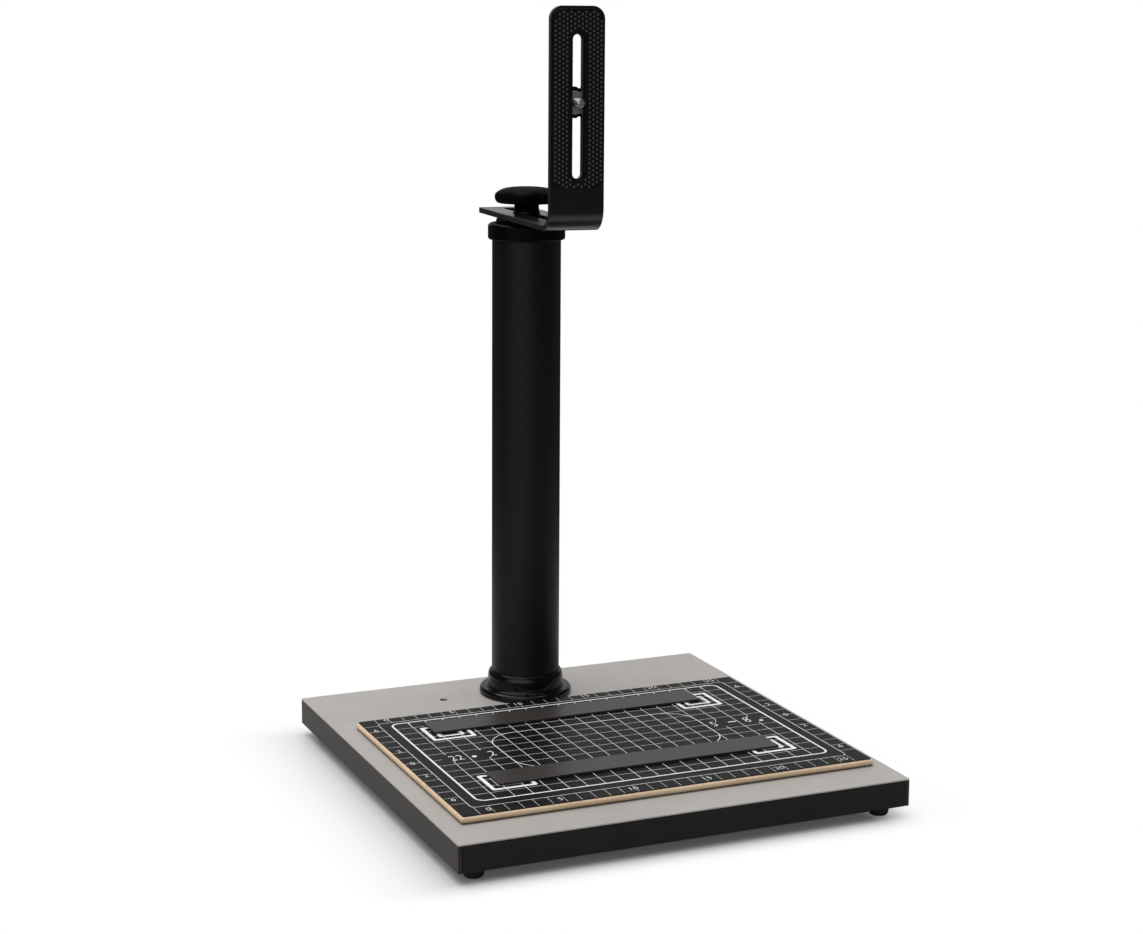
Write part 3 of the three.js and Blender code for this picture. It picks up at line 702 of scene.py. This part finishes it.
def add_feet():
    """Tapered rubber feet, each with a screw sunk in it, whose slot is painted shade rather than cut."""
    recess, hole, seat = FOOT.recess, FOOT.hole, FOOT.seat
    head, shank = SCREW.head, SCREW.shank
    reach, half = SCREW_SLOT.reach, SCREW_SLOT.half_width
    for corner in ("front_left", "front_right", "back_left", "back_right"):
        node = f"foot_{corner}"
        low, high = levels(node)
        place = [*middle(node)[:2], 0]
        corners = [[recess, low], [FOOT.bottom, low], [FOOT.top, high], [hole, high]]
        profile = rounded([*corners, [hole, seat], [recess, seat]], FOOT_ROUNDS, 5)
        foot = turned(profile, 64).moved(place)
        piece(f"rubber_foot_{corner}", foot, FOOT_RUBBER, "base", [node])

        node = f"foot_screw_{corner}"
        low, high = levels(node)
        neck = low + SCREW.height
        corners = [[0, low], [SCREW.face, low], [head, low + SCREW.bevel], [head, neck]]
        corners += [[shank, neck], [shank, high - SCREW.tip], [0, high]]
        screw = turned(rounded(corners, SCREW_ROUNDS, 4), 32).moved(place)
        piece(f"screw_{corner}", screw, ZINC, "base", [node])
        # Painted shade: a thin box of dark rubber on the head's face stands for the slot's shaded
        # inside.
        below, above = low - SCREW_SLOT.below, low + SCREW_SLOT.above
        cut = boxes([-reach, -half, below], [reach, half, above]).moved(place)
        piece(f"screw_slot_shade_{corner}", cut, FOOT_RUBBER, "base")


TUBE = Sizes(radius=25.4, wall=2.0, arris=0.4)
FLANGE = Sizes(bore=25.7, radius=34.7, rim=5.4)
FLANGE_ROUNDS = [0, 0.7, 2.6, 2.0, 0, 0]
COLLAR = Sizes(radius=28.4, shoulder_width=2.4, shoulder_height=6.0)
CAP = Sizes(radius=28.5, height=12.0, skirt_bore=25.7, skirt=8.0, spigot=23.1, bore=19.4)
CAP_ROUNDS = [0, 1.8, 2.5, 0.4, 0, 0, 0, 0.5, 1.0, 1.0, 0.5, 1.0, 0, 0]
BOSS = Sizes(radius=11.0, drop=9.0, bore=4.5, insert=6.3, roof=1)


def add_column():
    """The tube with its glossy stepped collar at the foot and its moulded cap at the top."""
    low, high = levels("column_tube")
    tube = ring(TUBE.radius - TUBE.wall, TUBE.radius, low, high, TUBE.arris, 128)
    piece("round_column", on_column(tube), COLUMN_PAINT, "base", ["column_tube"])

    # The shoulder is a quarter ellipse, taller than it is wide
    low, high = levels("column_flange")
    bore, radius, neck = FLANGE.bore, FLANGE.radius, COLLAR.radius
    rim, waist = low + FLANGE.rim, high - COLLAR.shoulder_height
    corners = [[bore, low], [radius, low], [radius, rim], [neck, rim], [neck, waist], [bore, waist]]
    disc = rounded(corners, FLANGE_ROUNDS, 8)
    turn = np.linspace(0, pi / 2, 13)[:, None]
    out = neck - COLLAR.shoulder_width + COLLAR.shoulder_width * np.cos(turn)
    up = waist + COLLAR.shoulder_height * np.sin(turn)
    profile = np.vstack([disc[:-2], np.hstack([out, up]), [[bore, high]]])
    collar = on_column(turned(profile, 128))
    piece("foot_collar", collar, FLANGE_GLOSS, "base", ["column_flange"])
    dress("foot_plug", ALUMINIUM)

    low, high = levels("column_cap")
    skirt = high - CAP.height
    roof = skirt + CAP.skirt
    outer, inner, spigot, bore = CAP.radius, CAP.skirt_bore, CAP.spigot, CAP.bore
    boss, hole, insert = BOSS.radius, BOSS.bore, BOSS.insert
    ceiling, foot = roof - BOSS.roof, skirt - BOSS.drop
    corners = [[inner, skirt], [outer, skirt], [outer, high], [hole, high], [hole, ceiling]]
    corners += [[insert, ceiling], [insert, foot], [boss, foot], [boss, roof], [bore, roof]]
    corners += [[bore, low], [spigot, low], [spigot, roof], [inner, roof]]
    lid = on_column(turned(rounded(corners, CAP_ROUNDS, 7), 128))
    piece("column_lid", lid, CAP_PLASTIC, "base", ["column_cap"])
    dress("stud_insert", BRASS)


GUIDE = Sizes(radius=22.5, thickness=2.9, bore=4.5, arris=0.4)
LUGS = Sizes(length=19.0, width=8.1, root=0.5)
BAR = Sizes(width=39.4, thickness=4.2, back=58.6, reach=115.0, rise=154.0, bend=16.2)
BAR_CORNER = Sizes(top=9.0, back=1.5, arris=0.45)
CLAMP_SLOT = (8.5, -48.0, 84.0)
CAMERA_SLOT = Sizes(width=6.7, bottom=36.9, top=134.9)
PAD = Sizes(inset=1.8, bottom=30.0, corner=6.4, gap=0.3, skin=1.55, slot_width=9.5)
PAD_DOTS = Sizes(pitch=3.15, radius=1.17, height=0.45, sunk=0.02, margin=1.5, sides=10)

# Width, bottom and top of the pad and of its slot
PAD_AREA = (BAR.width - 2 * PAD.inset, PAD.bottom, BAR.rise - PAD.inset)
PAD_MARGIN = (PAD.slot_width - CAMERA_SLOT.width) / 2
PAD_SLOT = (PAD.slot_width, CAMERA_SLOT.bottom - PAD_MARGIN, CAMERA_SLOT.top + PAD_MARGIN)

# The bend's length along the middle of the bar's thickness
BEND_LENGTH = (BAR.bend - BAR.thickness / 2) * pi / 2
BEND_START = BAR.reach - BAR.bend


def bent(points):
    """The bar's flat drawing bent up into an L. A point is (across, along, depth into the bar from
    its outer face). Up to the bend it lies at (along, depth). Round the bend it turns about the
    bend's centre with the radius bend - depth, by a right angle over the bend's length. Past it, it
    stands at reach - depth and rises with what is left of its length."""
    across, along, depth = points.T
    turn = np.clip((along - BEND_START) / BEND_LENGTH, 0, 1) * pi / 2
    radius = BAR.bend - depth
    before = np.minimum(along, BEND_START)
    after = np.maximum(along - BEND_START - BEND_LENGTH, 0)
    forward = before + radius * np.sin(turn)
    up = BAR.bend - radius * np.cos(turn) + after
    return np.stack([across, up, forward], 1)


def slot_outline(width, low, high):
    """A slot with round ends, across and along."""
    return rectangle(width, high - low, width / 2 - 0.001, (0, (low + high) / 2), 12)


def along_leg(height):
    """How far along the flat drawing a height on the upright leg lies."""
    return BEND_START + BEND_LENGTH + height - BAR.bend


def add_arm():
    """The guide disc with its lugs, the bent bar with its two slots, and the dotted rubber pad."""
    low, high = levels("guide_disc")
    top = low + GUIDE.thickness
    disc = ring(GUIDE.bore, GUIDE.radius, low, top, GUIDE.arris)
    lug = slot_outline(LUGS.width, -LUGS.length / 2, LUGS.length / 2)
    keys = slab(lug, top - LUGS.root, high, [circle(GUIDE.bore)], (0, GUIDE.arris))
    guide = on_column(disc + keys.moved([0, 0, 0], [ACROSS, -FORWARD, UP]))
    piece("guide_disc_smooth", guide, CAP_PLASTIC, "swivel", ["guide_disc"])

    seat = levels("l_bracket")[0]
    half, start, end = BAR.width / 2, -BAR.back, along_leg(BAR.rise)
    back, tip, arris = BAR_CORNER.back, BAR_CORNER.top, BAR_CORNER.arris
    corners = [[-half, start], [half, start], [half, end], [-half, end]]
    outline = rounded(corners, [back, back, tip, tip], 12)
    low, high = along_leg(CAMERA_SLOT.bottom), along_leg(CAMERA_SLOT.top)
    slots = [slot_outline(*CLAMP_SLOT), slot_outline(CAMERA_SLOT.width, low, high)]
    flat = slab(outline, 0, BAR.thickness, slots, (arris, arris))
    flat = sliced(flat, (0, 1, 0), np.linspace(BEND_START, BEND_START + BEND_LENGTH, 25))
    bar = on_arm(Shape(bent(flat.points), flat.faces), 0, seat)
    piece("bent_bar", bar, BRACKET_PAINT, "arm", ["l_bracket"])

    width, bottom, top = PAD_AREA
    face = PAD.gap + PAD.skin
    outline = rectangle(width, top - bottom, PAD.corner, (0, (top + bottom) / 2), 10)
    skin = slab(outline, PAD.gap, face, [slot_outline(*PAD_SLOT)], (0.1, 0.5))
    pad = on_arm(skin + pad_dots(face), BAR.reach, seat)
    finish = dotted_rubber(BAR.reach + face)
    piece("dotted_pad", pad, finish, "arm", ["rubber_pad"])


def outside_distance(points, width, low, high, corner):
    """Distance to the edge of an upright rounded rectangle, negative inside: the length of how far
    a point lies past the corner's centre lines, less the corner's radius."""
    centre = (low + high) / 2
    past = np.abs(points - [0, centre]) - [width / 2 - corner, (high - low) / 2 - corner]
    outer = np.linalg.norm(np.maximum(past, 0), axis=1)
    return outer + np.minimum(past.max(1), 0) - corner


def pad_dots(face):
    """Raised dots in upright columns, every other one half a pitch higher, where a whole dot has
    room. A dot is a grid of rings: radius times the cosine, and height times the sine, of an angle
    that runs up to its top."""
    pitch, room = PAD_DOTS.pitch, PAD_DOTS.margin
    bottom, top = PAD_AREA[1:]
    columns = np.arange(-8, 9)
    rows = np.arange(0, int((top - bottom) / pitch) + 1)
    y = bottom + (rows[:, None] + (columns[None] % 2) / 2) * pitch
    x = columns[None] * pitch * sin(pi / 3) + 0 * y
    centres = np.stack([x.ravel(), y.ravel()], 1)
    inside = outside_distance(centres, *PAD_AREA, PAD.corner) < -room
    clear = outside_distance(centres, *PAD_SLOT, PAD.slot_width / 2) > room
    centres = centres[inside & clear]
    rise = np.linspace(0, pi / 2, 4)[:, None]
    reach, height = PAD_DOTS.radius * np.cos(rise), PAD_DOTS.height * np.sin(rise)
    dot = grid(about_z(reach, height, around(PAD_DOTS.sides)), wrap=True)
    places = np.column_stack([centres, np.full(len(centres), face - PAD_DOTS.sunk)])
    return repeated(places[:, None] + dot.points[None], dot.faces)


WASHER_ARRIS = 0.25
CLAMP_WASHER = (4.5, 10.0)
KNOB = Sizes(radius=24.5, under=18.2, head=12.0, rim=5.9, fullness=0.76)
KNOB_STEM = Sizes(radius=9.1, height=5.8, bore=4.3, bore_depth=12.0)
STEM_ROUNDS = [0, 0.5, 1.2, 0]
LOBES = Sizes(count=6, dip=3.4)
CLAMP_STUD = Sizes(radius=4.0, pitch=1.25, depth=0.35, point=1.0)


def add_clamp():
    """The lobed knob, its stud and the washer under it. The knob's rim is round underneath and its
    crown is domed: both are quarter ellipses whose sine or cosine across is raised to the fullness,
    and so is the cosine upwards under the rim."""
    washer = on_column(ring(*CLAMP_WASHER, *levels("clamp_washer"), WASHER_ARRIS))
    piece("steel_washer", washer, BLACKENED, "clamp_lift", ["clamp_washer"])

    low = levels("clamp_knob")[0]
    radius, inner, full = KNOB.radius, KNOB.under, KNOB.fullness
    stem, bore, ceiling = KNOB_STEM.radius, KNOB_STEM.bore, low + KNOB_STEM.bore_depth
    under = low + KNOB_STEM.height
    rim, top = under + KNOB.rim, under + KNOB.head
    foot = rounded([[bore, low], [stem, low], [stem, under], [inner, under]], STEM_ROUNDS, 5)
    rise = np.linspace(0, pi / 2, 11)[:, None]
    outward = inner + (radius - inner) * np.sin(rise) ** full
    underside = np.hstack([outward, rim - KNOB.rim * np.cos(rise) ** full])
    rise = np.linspace(0, pi / 2, 29)[1:-1, None]
    upward = rim + (KNOB.head - KNOB.rim) * np.sin(rise)
    dome = np.hstack([radius * np.cos(rise) ** full, upward])
    profile = np.vstack([[[0, ceiling], [bore, ceiling]], foot[:-1], underside, dome, [[0, top]]])
    knob = on_column(turned(profile, 144, hollows(widest=radius, **vars(LOBES))))
    piece("lobed_knob", knob, KNOB_PLASTIC, "clamp", ["clamp_knob"])

    low, high = levels("clamp_stud")
    stud = on_column(threaded(length=high - low, **vars(CLAMP_STUD)), low)
    piece("threaded_stud", stud, ZINC, "clamp", ["clamp_stud"])


CAMERA_WASHER = (3.4, 8.0)
CAMERA_KNOB = Sizes(radius=11.0, head=9.5, hub=6.5, hub_height=2.5, bore=3.4, floor=3.0)
CAMERA_KNOB_ROUNDS = [0, 2.5, 0.8, 0.6, 0.4, 0.3, 0, 0]
CAMERA_STUD = Sizes(radius=3.1, pitch=1.27, depth=0.35, point=0.8)
FLUTES = Sizes(count=18, dip=0.6)

# The camera screw's play, and how far its stud stands out past a pad of this thickness
SCREW_PLAY = 0.3
STUD_END = Sizes(pad=2.0, out=5.5)


def along_arm(node):
    """Nearest and furthest distance of a node's round along the arm, from its box: the box of a
    disc of radius r and thickness t turned by the arm's angle is t cos + 2 r sin deep."""
    low, high = low_high(node)
    turn_sin, turn_cos = abs(FORWARD[0]), abs(FORWARD[1])
    radius = (high - low)[2] / 2
    depth = ((high - low)[1] - 2 * radius * turn_sin) / turn_cos
    centre = float((middle(node) - COLUMN_AXIS) @ FORWARD)
    return centre - depth / 2, centre + depth / 2


def add_camera_screw():
    """The fluted knob behind the upright leg, its washer and the threaded stud through the slot."""
    height = middle("camera_knob")[2]
    start, end = along_arm("camera_washer")
    washer = on_arm(ring(*CAMERA_WASHER, 0, end - start, WASHER_ARRIS, 64), start, height)
    piece("camera_screw_washer", washer, ZINC, "camera_shift", ["camera_washer"])

    radius, head, hub = CAMERA_KNOB.radius, CAMERA_KNOB.head, CAMERA_KNOB.hub
    bore, floor = CAMERA_KNOB.bore, CAMERA_KNOB.floor
    length = head + CAMERA_KNOB.hub_height
    knob_back = start - SCREW_PLAY - length
    corners = [[0, 0], [radius, 0], [radius, head], [hub, head], [hub, length], [bore, length]]
    profile = rounded([*corners, [bore, floor], [0, floor]], CAMERA_KNOB_ROUNDS, 6)
    knob = on_arm(turned(profile, 144, hollows(widest=radius, **vars(FLUTES))), knob_back, height)
    piece("fluted_knob", knob, KNOB_PLASTIC, "camera_screw", ["camera_knob"])

    start = knob_back + floor + SCREW_PLAY
    reach = BAR.reach + PAD.gap + STUD_END.pad + STUD_END.out
    stud = on_arm(threaded(length=reach - start, **vars(CAMERA_STUD)), start, height)
    piece("camera_stud_threaded", stud, ZINC, "camera_screw", ["camera_stud"])


BOARD = Sizes(corner=2.1, arris=2.0)
SHEET = Sizes(corner=1.2, arris=0.12)
STRIP = Sizes(corner=0.9, low_arris=0.1, arris=0.3)

# How high the ink stands over the sheet and reaches into it, and how much lower or higher than that
# lines stand that cross others
INK = Sizes(rise=0.04, sunk=0.02)
CROSSING = Sizes(column=-0.01, row=-0.02, mark=0.01)

# The print, in millimetres from its own middle line, which lies a little left of the sheet's
PRINT_X = -0.5
CELL = Sizes(width=12.98, depth=12.41, columns=20, rows=14, line=0.52, row_line=0.38)
BESIDE_NUMBERS = (1, 3, 17, 19)
BORDER = Sizes(y=4.1, line=1.4, corner=6.0)
OUTER_LINE = Sizes(width=276.2, low=-92.6, high=95.4, line=0.45, corner=3.5)
FRAME_GUIDE = Sizes(width=156.0, low=-36.0, high=41.5, corner=22.0, line=0.6)
CORNER_MARKS = Sizes(x=97.4, back=59.8, front=-52.0, corner=0.3)
MARK_SIZES = ((32.2, 30.9, 2.8), (18.9, 17.9, 2.0))
RULER = Sizes(step=10.156, count=28, line=0.3, short_by=0.6)
HANGING = Sizes(line=1.0, length=6.0)
SIDE_TICK = Sizes(line=0.35, short_by=0.8)
RULER_NUMBERS = Sizes(size=7.6, front=-99.0, back=102.0, side=143.8)
FRONT_WORDS = (("0", -129), ("5", -79), ("10", -27), ("15", 27), ("20", 82), ("25", 131.5))
SIDE_WORDS = (("6", 81), ("2", 31), ("0", 4), ("2", -23), ("6", -74))
NUMBER_ROW = Sizes(y=3.5, size=14.5, narrow=0.72)
NUMBER_GAP = Sizes(low=-4.0, high=13.0, inner=80.0, outer=122.5)
ROW_WORDS = (("22", -112.2), ("2", -86), ("5", 85), ("8", 111.5))
LEADER_LINE = 0.5
LEADERS = (
    ((-116.8, -4), (-113.5, 1)),
    ((-90.9, -4), (-86.5, 1)),
    ((90.9, 13), (88, 7)),
    ((116.8, 13), (113, 7)),
)
ROW_DOTS = ((1.8, (-99.6, 2.4)), (1.6, (120.8, -0.8)))
ROW_DASH = (99.6, 4.0, 6.4, 1.5)
LETTER_THINNING = 0.014


def frame_line(width, low, high, corner, line, extra=0.0, x=0.0):
    """A closed line of even width round a rectangle, as a thin plate with a hole."""
    centre = (x, (low + high) / 2)
    outside = rectangle(width + line, high - low + line, corner + line / 2, centre, 10)
    inside = rectangle(width - line, high - low - line, max(corner - line / 2, 0.05), centre, 10)
    return slab(outside, -INK.sunk, INK.rise + extra, [inside])


def strokes(x, y, width, depth, extra=0.0):
    """Straight strokes as thin boxes, centred on arrays of places."""
    x, y, width, depth = np.broadcast_arrays(x, y, width, depth)
    half = np.stack([width, depth, np.zeros(x.shape)], -1).reshape(-1, 3) / 2
    centre = np.stack([x, y, np.zeros(x.shape)], -1).reshape(-1, 3)
    return boxes(centre - half + [0, 0, -INK.sunk], centre + half + [0, 0, INK.rise + extra])


def numbers(words, size, narrow=1.0):
    """Numbers as solid ink. Each text is made a mesh first, then made narrow and moved."""
    shapes = []
    for word, x, y in words:
        curve = bpy.data.curves.new("number", "FONT")
        curve.body = word
        curve.size = size
        curve.align_x = "CENTER"
        curve.align_y = "CENTER"
        curve.resolution_u = 4
        curve.offset = -LETTER_THINNING * size
        curve.extrude = (INK.rise + INK.sunk) / 2
        text = linked("number", curve)
        graph = bpy.context.evaluated_depsgraph_get()
        mesh = bpy.data.meshes.new_from_object(text.evaluated_get(graph))
        place = [x, y, (INK.rise - INK.sunk) / 2]
        shapes.append(shape_of(mesh).moved(place, np.diag([narrow, 1, 1])))
        bpy.data.objects.remove(text)
        bpy.data.curves.remove(curve)
        bpy.data.meshes.remove(mesh)
    return joined(shapes)


def add_board():
    """The loose board: fibreboard core, black printed sheet and its white print."""
    core = plate("board_core", BOARD.corner, (BOARD.arris, BOARD.arris), 8, 6)
    piece("fibre_board", core, FIBREBOARD, "board", ["board_core"])
    sheet = plate("board_sheet", SHEET.corner, (0, SHEET.arris))
    piece("black_sheet", sheet, PRINTED_SHEET, "board", ["board_sheet"])
    x, y = middle("board_sheet")[:2]
    add_print([x + PRINT_X, y, levels("board_sheet")[1]])


def add_print(origin):
    """Grid, borders, rulers, corner marks and numbers, as ink a few hundredths thick. The grid's
    lines leave room for the four large numbers."""
    half_width = CELL.width * CELL.columns / 2
    half_depth = CELL.depth * CELL.rows / 2
    low, high = BORDER.y - half_depth, BORDER.y + half_depth
    columns = np.arange(1, CELL.columns) * CELL.width - half_width
    rows = np.arange(1, CELL.rows) * CELL.depth + low

    beside = np.isin(np.arange(1, CELL.columns), BESIDE_NUMBERS)
    line, extra = CELL.line, CROSSING.column
    lines = [strokes(columns[~beside], BORDER.y, line, 2 * half_depth, extra)]
    for start, end in ((low, NUMBER_GAP.low), (NUMBER_GAP.high, high)):
        length = end - start
        lines.append(strokes(columns[beside], start + length / 2, line, length, extra))
    broken = np.abs(rows - NUMBER_ROW.y) < CELL.depth / 2
    line, extra = CELL.row_line, CROSSING.row
    length = half_width - NUMBER_GAP.outer
    ends = np.array([-1, 1]) * (half_width - length / 2)
    lines.append(strokes(0.0, rows[~broken], 2 * half_width, line, extra))
    lines.append(strokes(ends, rows[broken], length, line, extra))
    lines.append(strokes(0.0, rows[broken], 2 * NUMBER_GAP.inner, line, extra))
    for start, end in LEADERS:
        reach = np.subtract(end, start)
        length = hypot(*reach)
        along = np.array([*reach, 0]) / length
        leader = strokes(0, length / 2, LEADER_LINE, length, CROSSING.column)
        lines.append(leader.moved([*start, 0], [np.cross(along, UP), along, UP]))

    marks = []
    for side in (-1, 1):
        for y in (CORNER_MARKS.back, CORNER_MARKS.front):
            for width, depth, thick in MARK_SIZES:
                reach = (depth - thick) / 2
                area = (width - thick, y - reach, y + reach, CORNER_MARKS.corner, thick)
                marks.append(frame_line(*area, CROSSING.mark, side * CORNER_MARKS.x))

    sheet_width, sheet_depth = flat_size("board_sheet")
    ruler = (np.arange(RULER.count) - (RULER.count - 1) / 2) * RULER.step
    ticks = []
    for edge, side in ((OUTER_LINE.low, -1), (OUTER_LINE.high, 1)):
        room = sheet_depth / 2 - side * edge
        ticks.append(strokes(ruler, edge + side * room / 2, RULER.line, room - RULER.short_by))
    length = HANGING.length
    ticks.append(strokes(columns, high - length / 2, HANGING.line, length))
    room = (sheet_width - OUTER_LINE.width) / 2
    sides = np.array([[-1], [1]]) * (OUTER_LINE.width + room) / 2
    length = room - SIDE_TICK.short_by
    levels_beside = np.concatenate([rows, [low, high]])[None]
    ticks.append(strokes(sides, levels_beside, length, SIDE_TICK.line, CROSSING.row))

    ends = (RULER_NUMBERS.front, RULER_NUMBERS.back)
    small = [(word, x, y) for word, x in FRONT_WORDS for y in ends]
    for x in (-RULER_NUMBERS.side, RULER_NUMBERS.side):
        small += [(word, x, y) for word, y in SIDE_WORDS]
    large = [(word, x, NUMBER_ROW.y) for word, x in ROW_WORDS]
    words = [
        numbers(small, RULER_NUMBERS.size),
        numbers(large, NUMBER_ROW.size, NUMBER_ROW.narrow),
    ]
    dots = [slab(circle(radius, place, 20), -INK.sunk, INK.rise) for radius, place in ROW_DOTS]
    border = frame_line(2 * half_width, low, high, BORDER.corner, BORDER.line)

    for name, shapes, finish in (
        ("print_grid", lines, LINE_INK),
        ("print_border", [border, frame_line(**vars(OUTER_LINE))], WHITE_INK),
        ("print_guide", [frame_line(**vars(FRAME_GUIDE))], WHITE_INK),
        ("print_corner_marks", marks, WHITE_INK),
        ("print_rulers", ticks, LINE_INK),
        ("print_numbers", words, WHITE_INK),
        ("print_dots", [*dots, strokes(*ROW_DASH)], WHITE_INK),
    ):
        piece(name, joined(shapes).moved(origin), finish, "board")


def add_strips():
    """Two dark magnetic hold-down strips that lie on the sheet."""
    for place in ("back", "front"):
        node = f"magnetic_strip_{place}"
        strip = plate(node, STRIP.corner, (STRIP.low_arris, STRIP.arris))
        piece(f"hold_down_{place}", strip, MAGNET_STRIP, f"strip_{place}", [node])


# Room: floor, light and camera


# How bright the far floor and the room look in a reflection, where 1 is white, and how bright the
# room's light is at the viewer's back and behind the stand
MIRRORED_FLOOR = Sizes(behind=0.02, aside=0.12)
MIRRORED_ROOM = Sizes(behind=0.5, aside=0.07, window=1.4)
ROOM_LIGHT = Sizes(viewer=0.3, behind=0.5)
OVERHEAD = Sizes(place=(-0.4, 0.5, 2.6), aim=(0, 0, 0.1), size=(3.0, 2.6), power=64)
BEHIND_STAND = (0.4, 0.91, 0.08)
TOWARD_WINDOW = (-0.66, -0.75, 0.05)
SHADOW_REACH = Sizes(start=-0.01, end=0.065)
FLOOR_REACH = 12.0


def add_floor():
    """A pale floor that keeps the stand's shadow close to the base and, further out, glows white like
    the room, which paints light over the rest of its shadow.
    How far out is the length of what the place's distances along X and Y exceed half the base by, with
    the one along Y doubled.
    Towards the right and the back it glows white where the base ends, painting out the shadow on those
    sides.
    In a reflection the far floor is dark straight behind the stand and paler to both sides."""
    finish = Finish("pale_floor", IOR=1.4, Roughness=0.3, Base_Color=shade(234, 234, 234))
    place = finish.place()
    half_x, half_y = (flat_size("top_laminate") / 2 * MM).tolist()
    past = finish.vector("SUBTRACT", finish.vector("ABSOLUTE", place), (half_x, half_y, 1.0))
    past = finish.vector("MULTIPLY", finish.vector("MAXIMUM", past, (0, 0, 0)), (1, 2, 1))
    past = finish.vector("LENGTH", past, out="Value")
    outer = finish.fade(past, SHADOW_REACH.start, SHADOW_REACH.end)
    # Painted light: these masks make the floor glow white just past the base's right and back ends, over
    # its shadow there.
    right = finish.fade(finish.part(place, 0), half_x - 0.03, half_x + 0.02)
    back = finish.fade(finish.part(place, 1), half_y - 0.02, half_y + 0.02)
    near_white = 1 - (1 - outer) * (1 - 0.85 * right) * (1 - 0.85 * back)
    far_off = finish.fade(finish.vector("LENGTH", place, out="Value"), 0.28, 0.8)
    ahead = finish.along(finish.vector("NORMALIZE", place), BEHIND_STAND)
    mirrored_level = finish.fade(ahead, 0.66, 0.9, MIRRORED_FLOOR.aside, MIRRORED_FLOOR.behind)
    seen = finish.ray("Camera")
    mirrored = finish.ray("Glossy")
    share = near_white * seen + far_off * mirrored
    level = seen + mirrored * mirrored_level
    white = finish.node("ShaderNodeEmission", sockets={"Color": (1, 1, 1, 1), "Strength": level})
    surface = Wire(finish, finish.shader.outputs[0])
    mixed = finish.node("ShaderNodeMixShader", sockets={0: share, 1: surface, 2: white})
    finish.fill(finish.tree.nodes["Material Output"], {"Surface": mixed})
    corners = [(-1, -1), (1, -1), (1, 1), (-1, 1)]
    points = [(x * FLOOR_REACH, y * FLOOR_REACH, 0) for x, y in corners]
    mesh = bpy.data.meshes.new("floor")
    mesh.from_pydata(points, [], [[0, 1, 2, 3]])
    mesh.materials.append(finish.material)
    linked("floor", mesh)


def light_room():
    """A white room, dimmer at the viewer's back, and one large soft light overhead. In a reflection
    the room is palest straight behind the stand and falls off to both sides, with a bright window
    to the viewer's left."""
    world = bpy.data.worlds.new("room")
    bpy.context.scene.world = world
    room = Graph(world)
    toward = room.node("ShaderNodeTexCoord", out="Generated")
    ahead = room.along(toward, BEHIND_STAND)
    across = room.along(toward, TOWARD_WINDOW)
    seen = room.ray("Camera")
    mirrored = room.ray("Glossy")
    lit = room.fade(ahead, -0.8, 0.5, ROOM_LIGHT.viewer, ROOM_LIGHT.behind)
    reflected = room.fade(ahead, 0.7, 0.95, MIRRORED_ROOM.aside, MIRRORED_ROOM.behind)
    reflected = reflected + room.fade(across, 0.62, 1.0, 0.0, MIRRORED_ROOM.window)
    strength = seen + mirrored * reflected + (1 - seen - mirrored) * lit
    room.fill(room.tree.nodes["Background"], {"Color": (1, 1, 1, 1), "Strength": strength})

    lamp = bpy.data.lights.new("overhead_light", "AREA")
    lamp.shape = "RECTANGLE"
    lamp.size, lamp.size_y = OVERHEAD.size
    lamp.energy = OVERHEAD.power
    holder = linked("overhead_light", lamp)
    place = Vector(OVERHEAD.place)
    holder.location = place
    holder.rotation_euler = (Vector(OVERHEAD.aim) - place).to_track_quat("-Z", "Y").to_euler()


CAMERA = Sizes(
    focal_length=2262.04,
    principal_column=572.0,
    principal_row=377.5,
    yaw=-23.616,
    pitch=8.962,
    roll=0.357,
    place=(-0.63397, -1.42202, 0.52997),
)
PICTURE = Sizes(width=1143, height=934)
SENSOR = 36.0


def add_camera():
    """The viewer's camera. Ahead is turned by the yaw from +Y and tipped down by the pitch, and the
    picture is then rolled about it. The lens is the focal length in picture widths times the
    sensor's width, and the shift is how far the picture's middle lies below the optical axis."""
    yaw, pitch, roll = (radians(turn) for turn in (CAMERA.yaw, CAMERA.pitch, CAMERA.roll))
    ahead = np.array([-sin(yaw) * cos(pitch), cos(yaw) * cos(pitch), -sin(pitch)])
    level = np.array([cos(yaw), sin(yaw), 0.0])
    above = np.cross(level, ahead)
    right = level * cos(roll) + above * sin(roll)
    up = above * cos(roll) - level * sin(roll)
    data = bpy.data.cameras.new("viewer")
    data.sensor_width = SENSOR
    data.lens = CAMERA.focal_length / PICTURE.width * SENSOR
    data.shift_x = (PICTURE.width / 2 - CAMERA.principal_column) / PICTURE.width
    data.shift_y = (CAMERA.principal_row - PICTURE.height / 2) / PICTURE.width
    data.clip_start, data.clip_end = 0.05, 60
    camera = linked("viewer", data)
    turn = Matrix(np.column_stack([right, up, -ahead]).tolist()).to_4x4()
    camera.matrix_world = Matrix.Translation(CAMERA.place) @ turn
    bpy.context.scene.camera = camera


add_base()
add_feet()
add_column()
add_arm()
add_clamp()
add_camera_screw()
add_board()
add_strips()
add_floor()
light_room()
add_camera()

bpy.context.scene.view_settings.view_transform = "Standard"
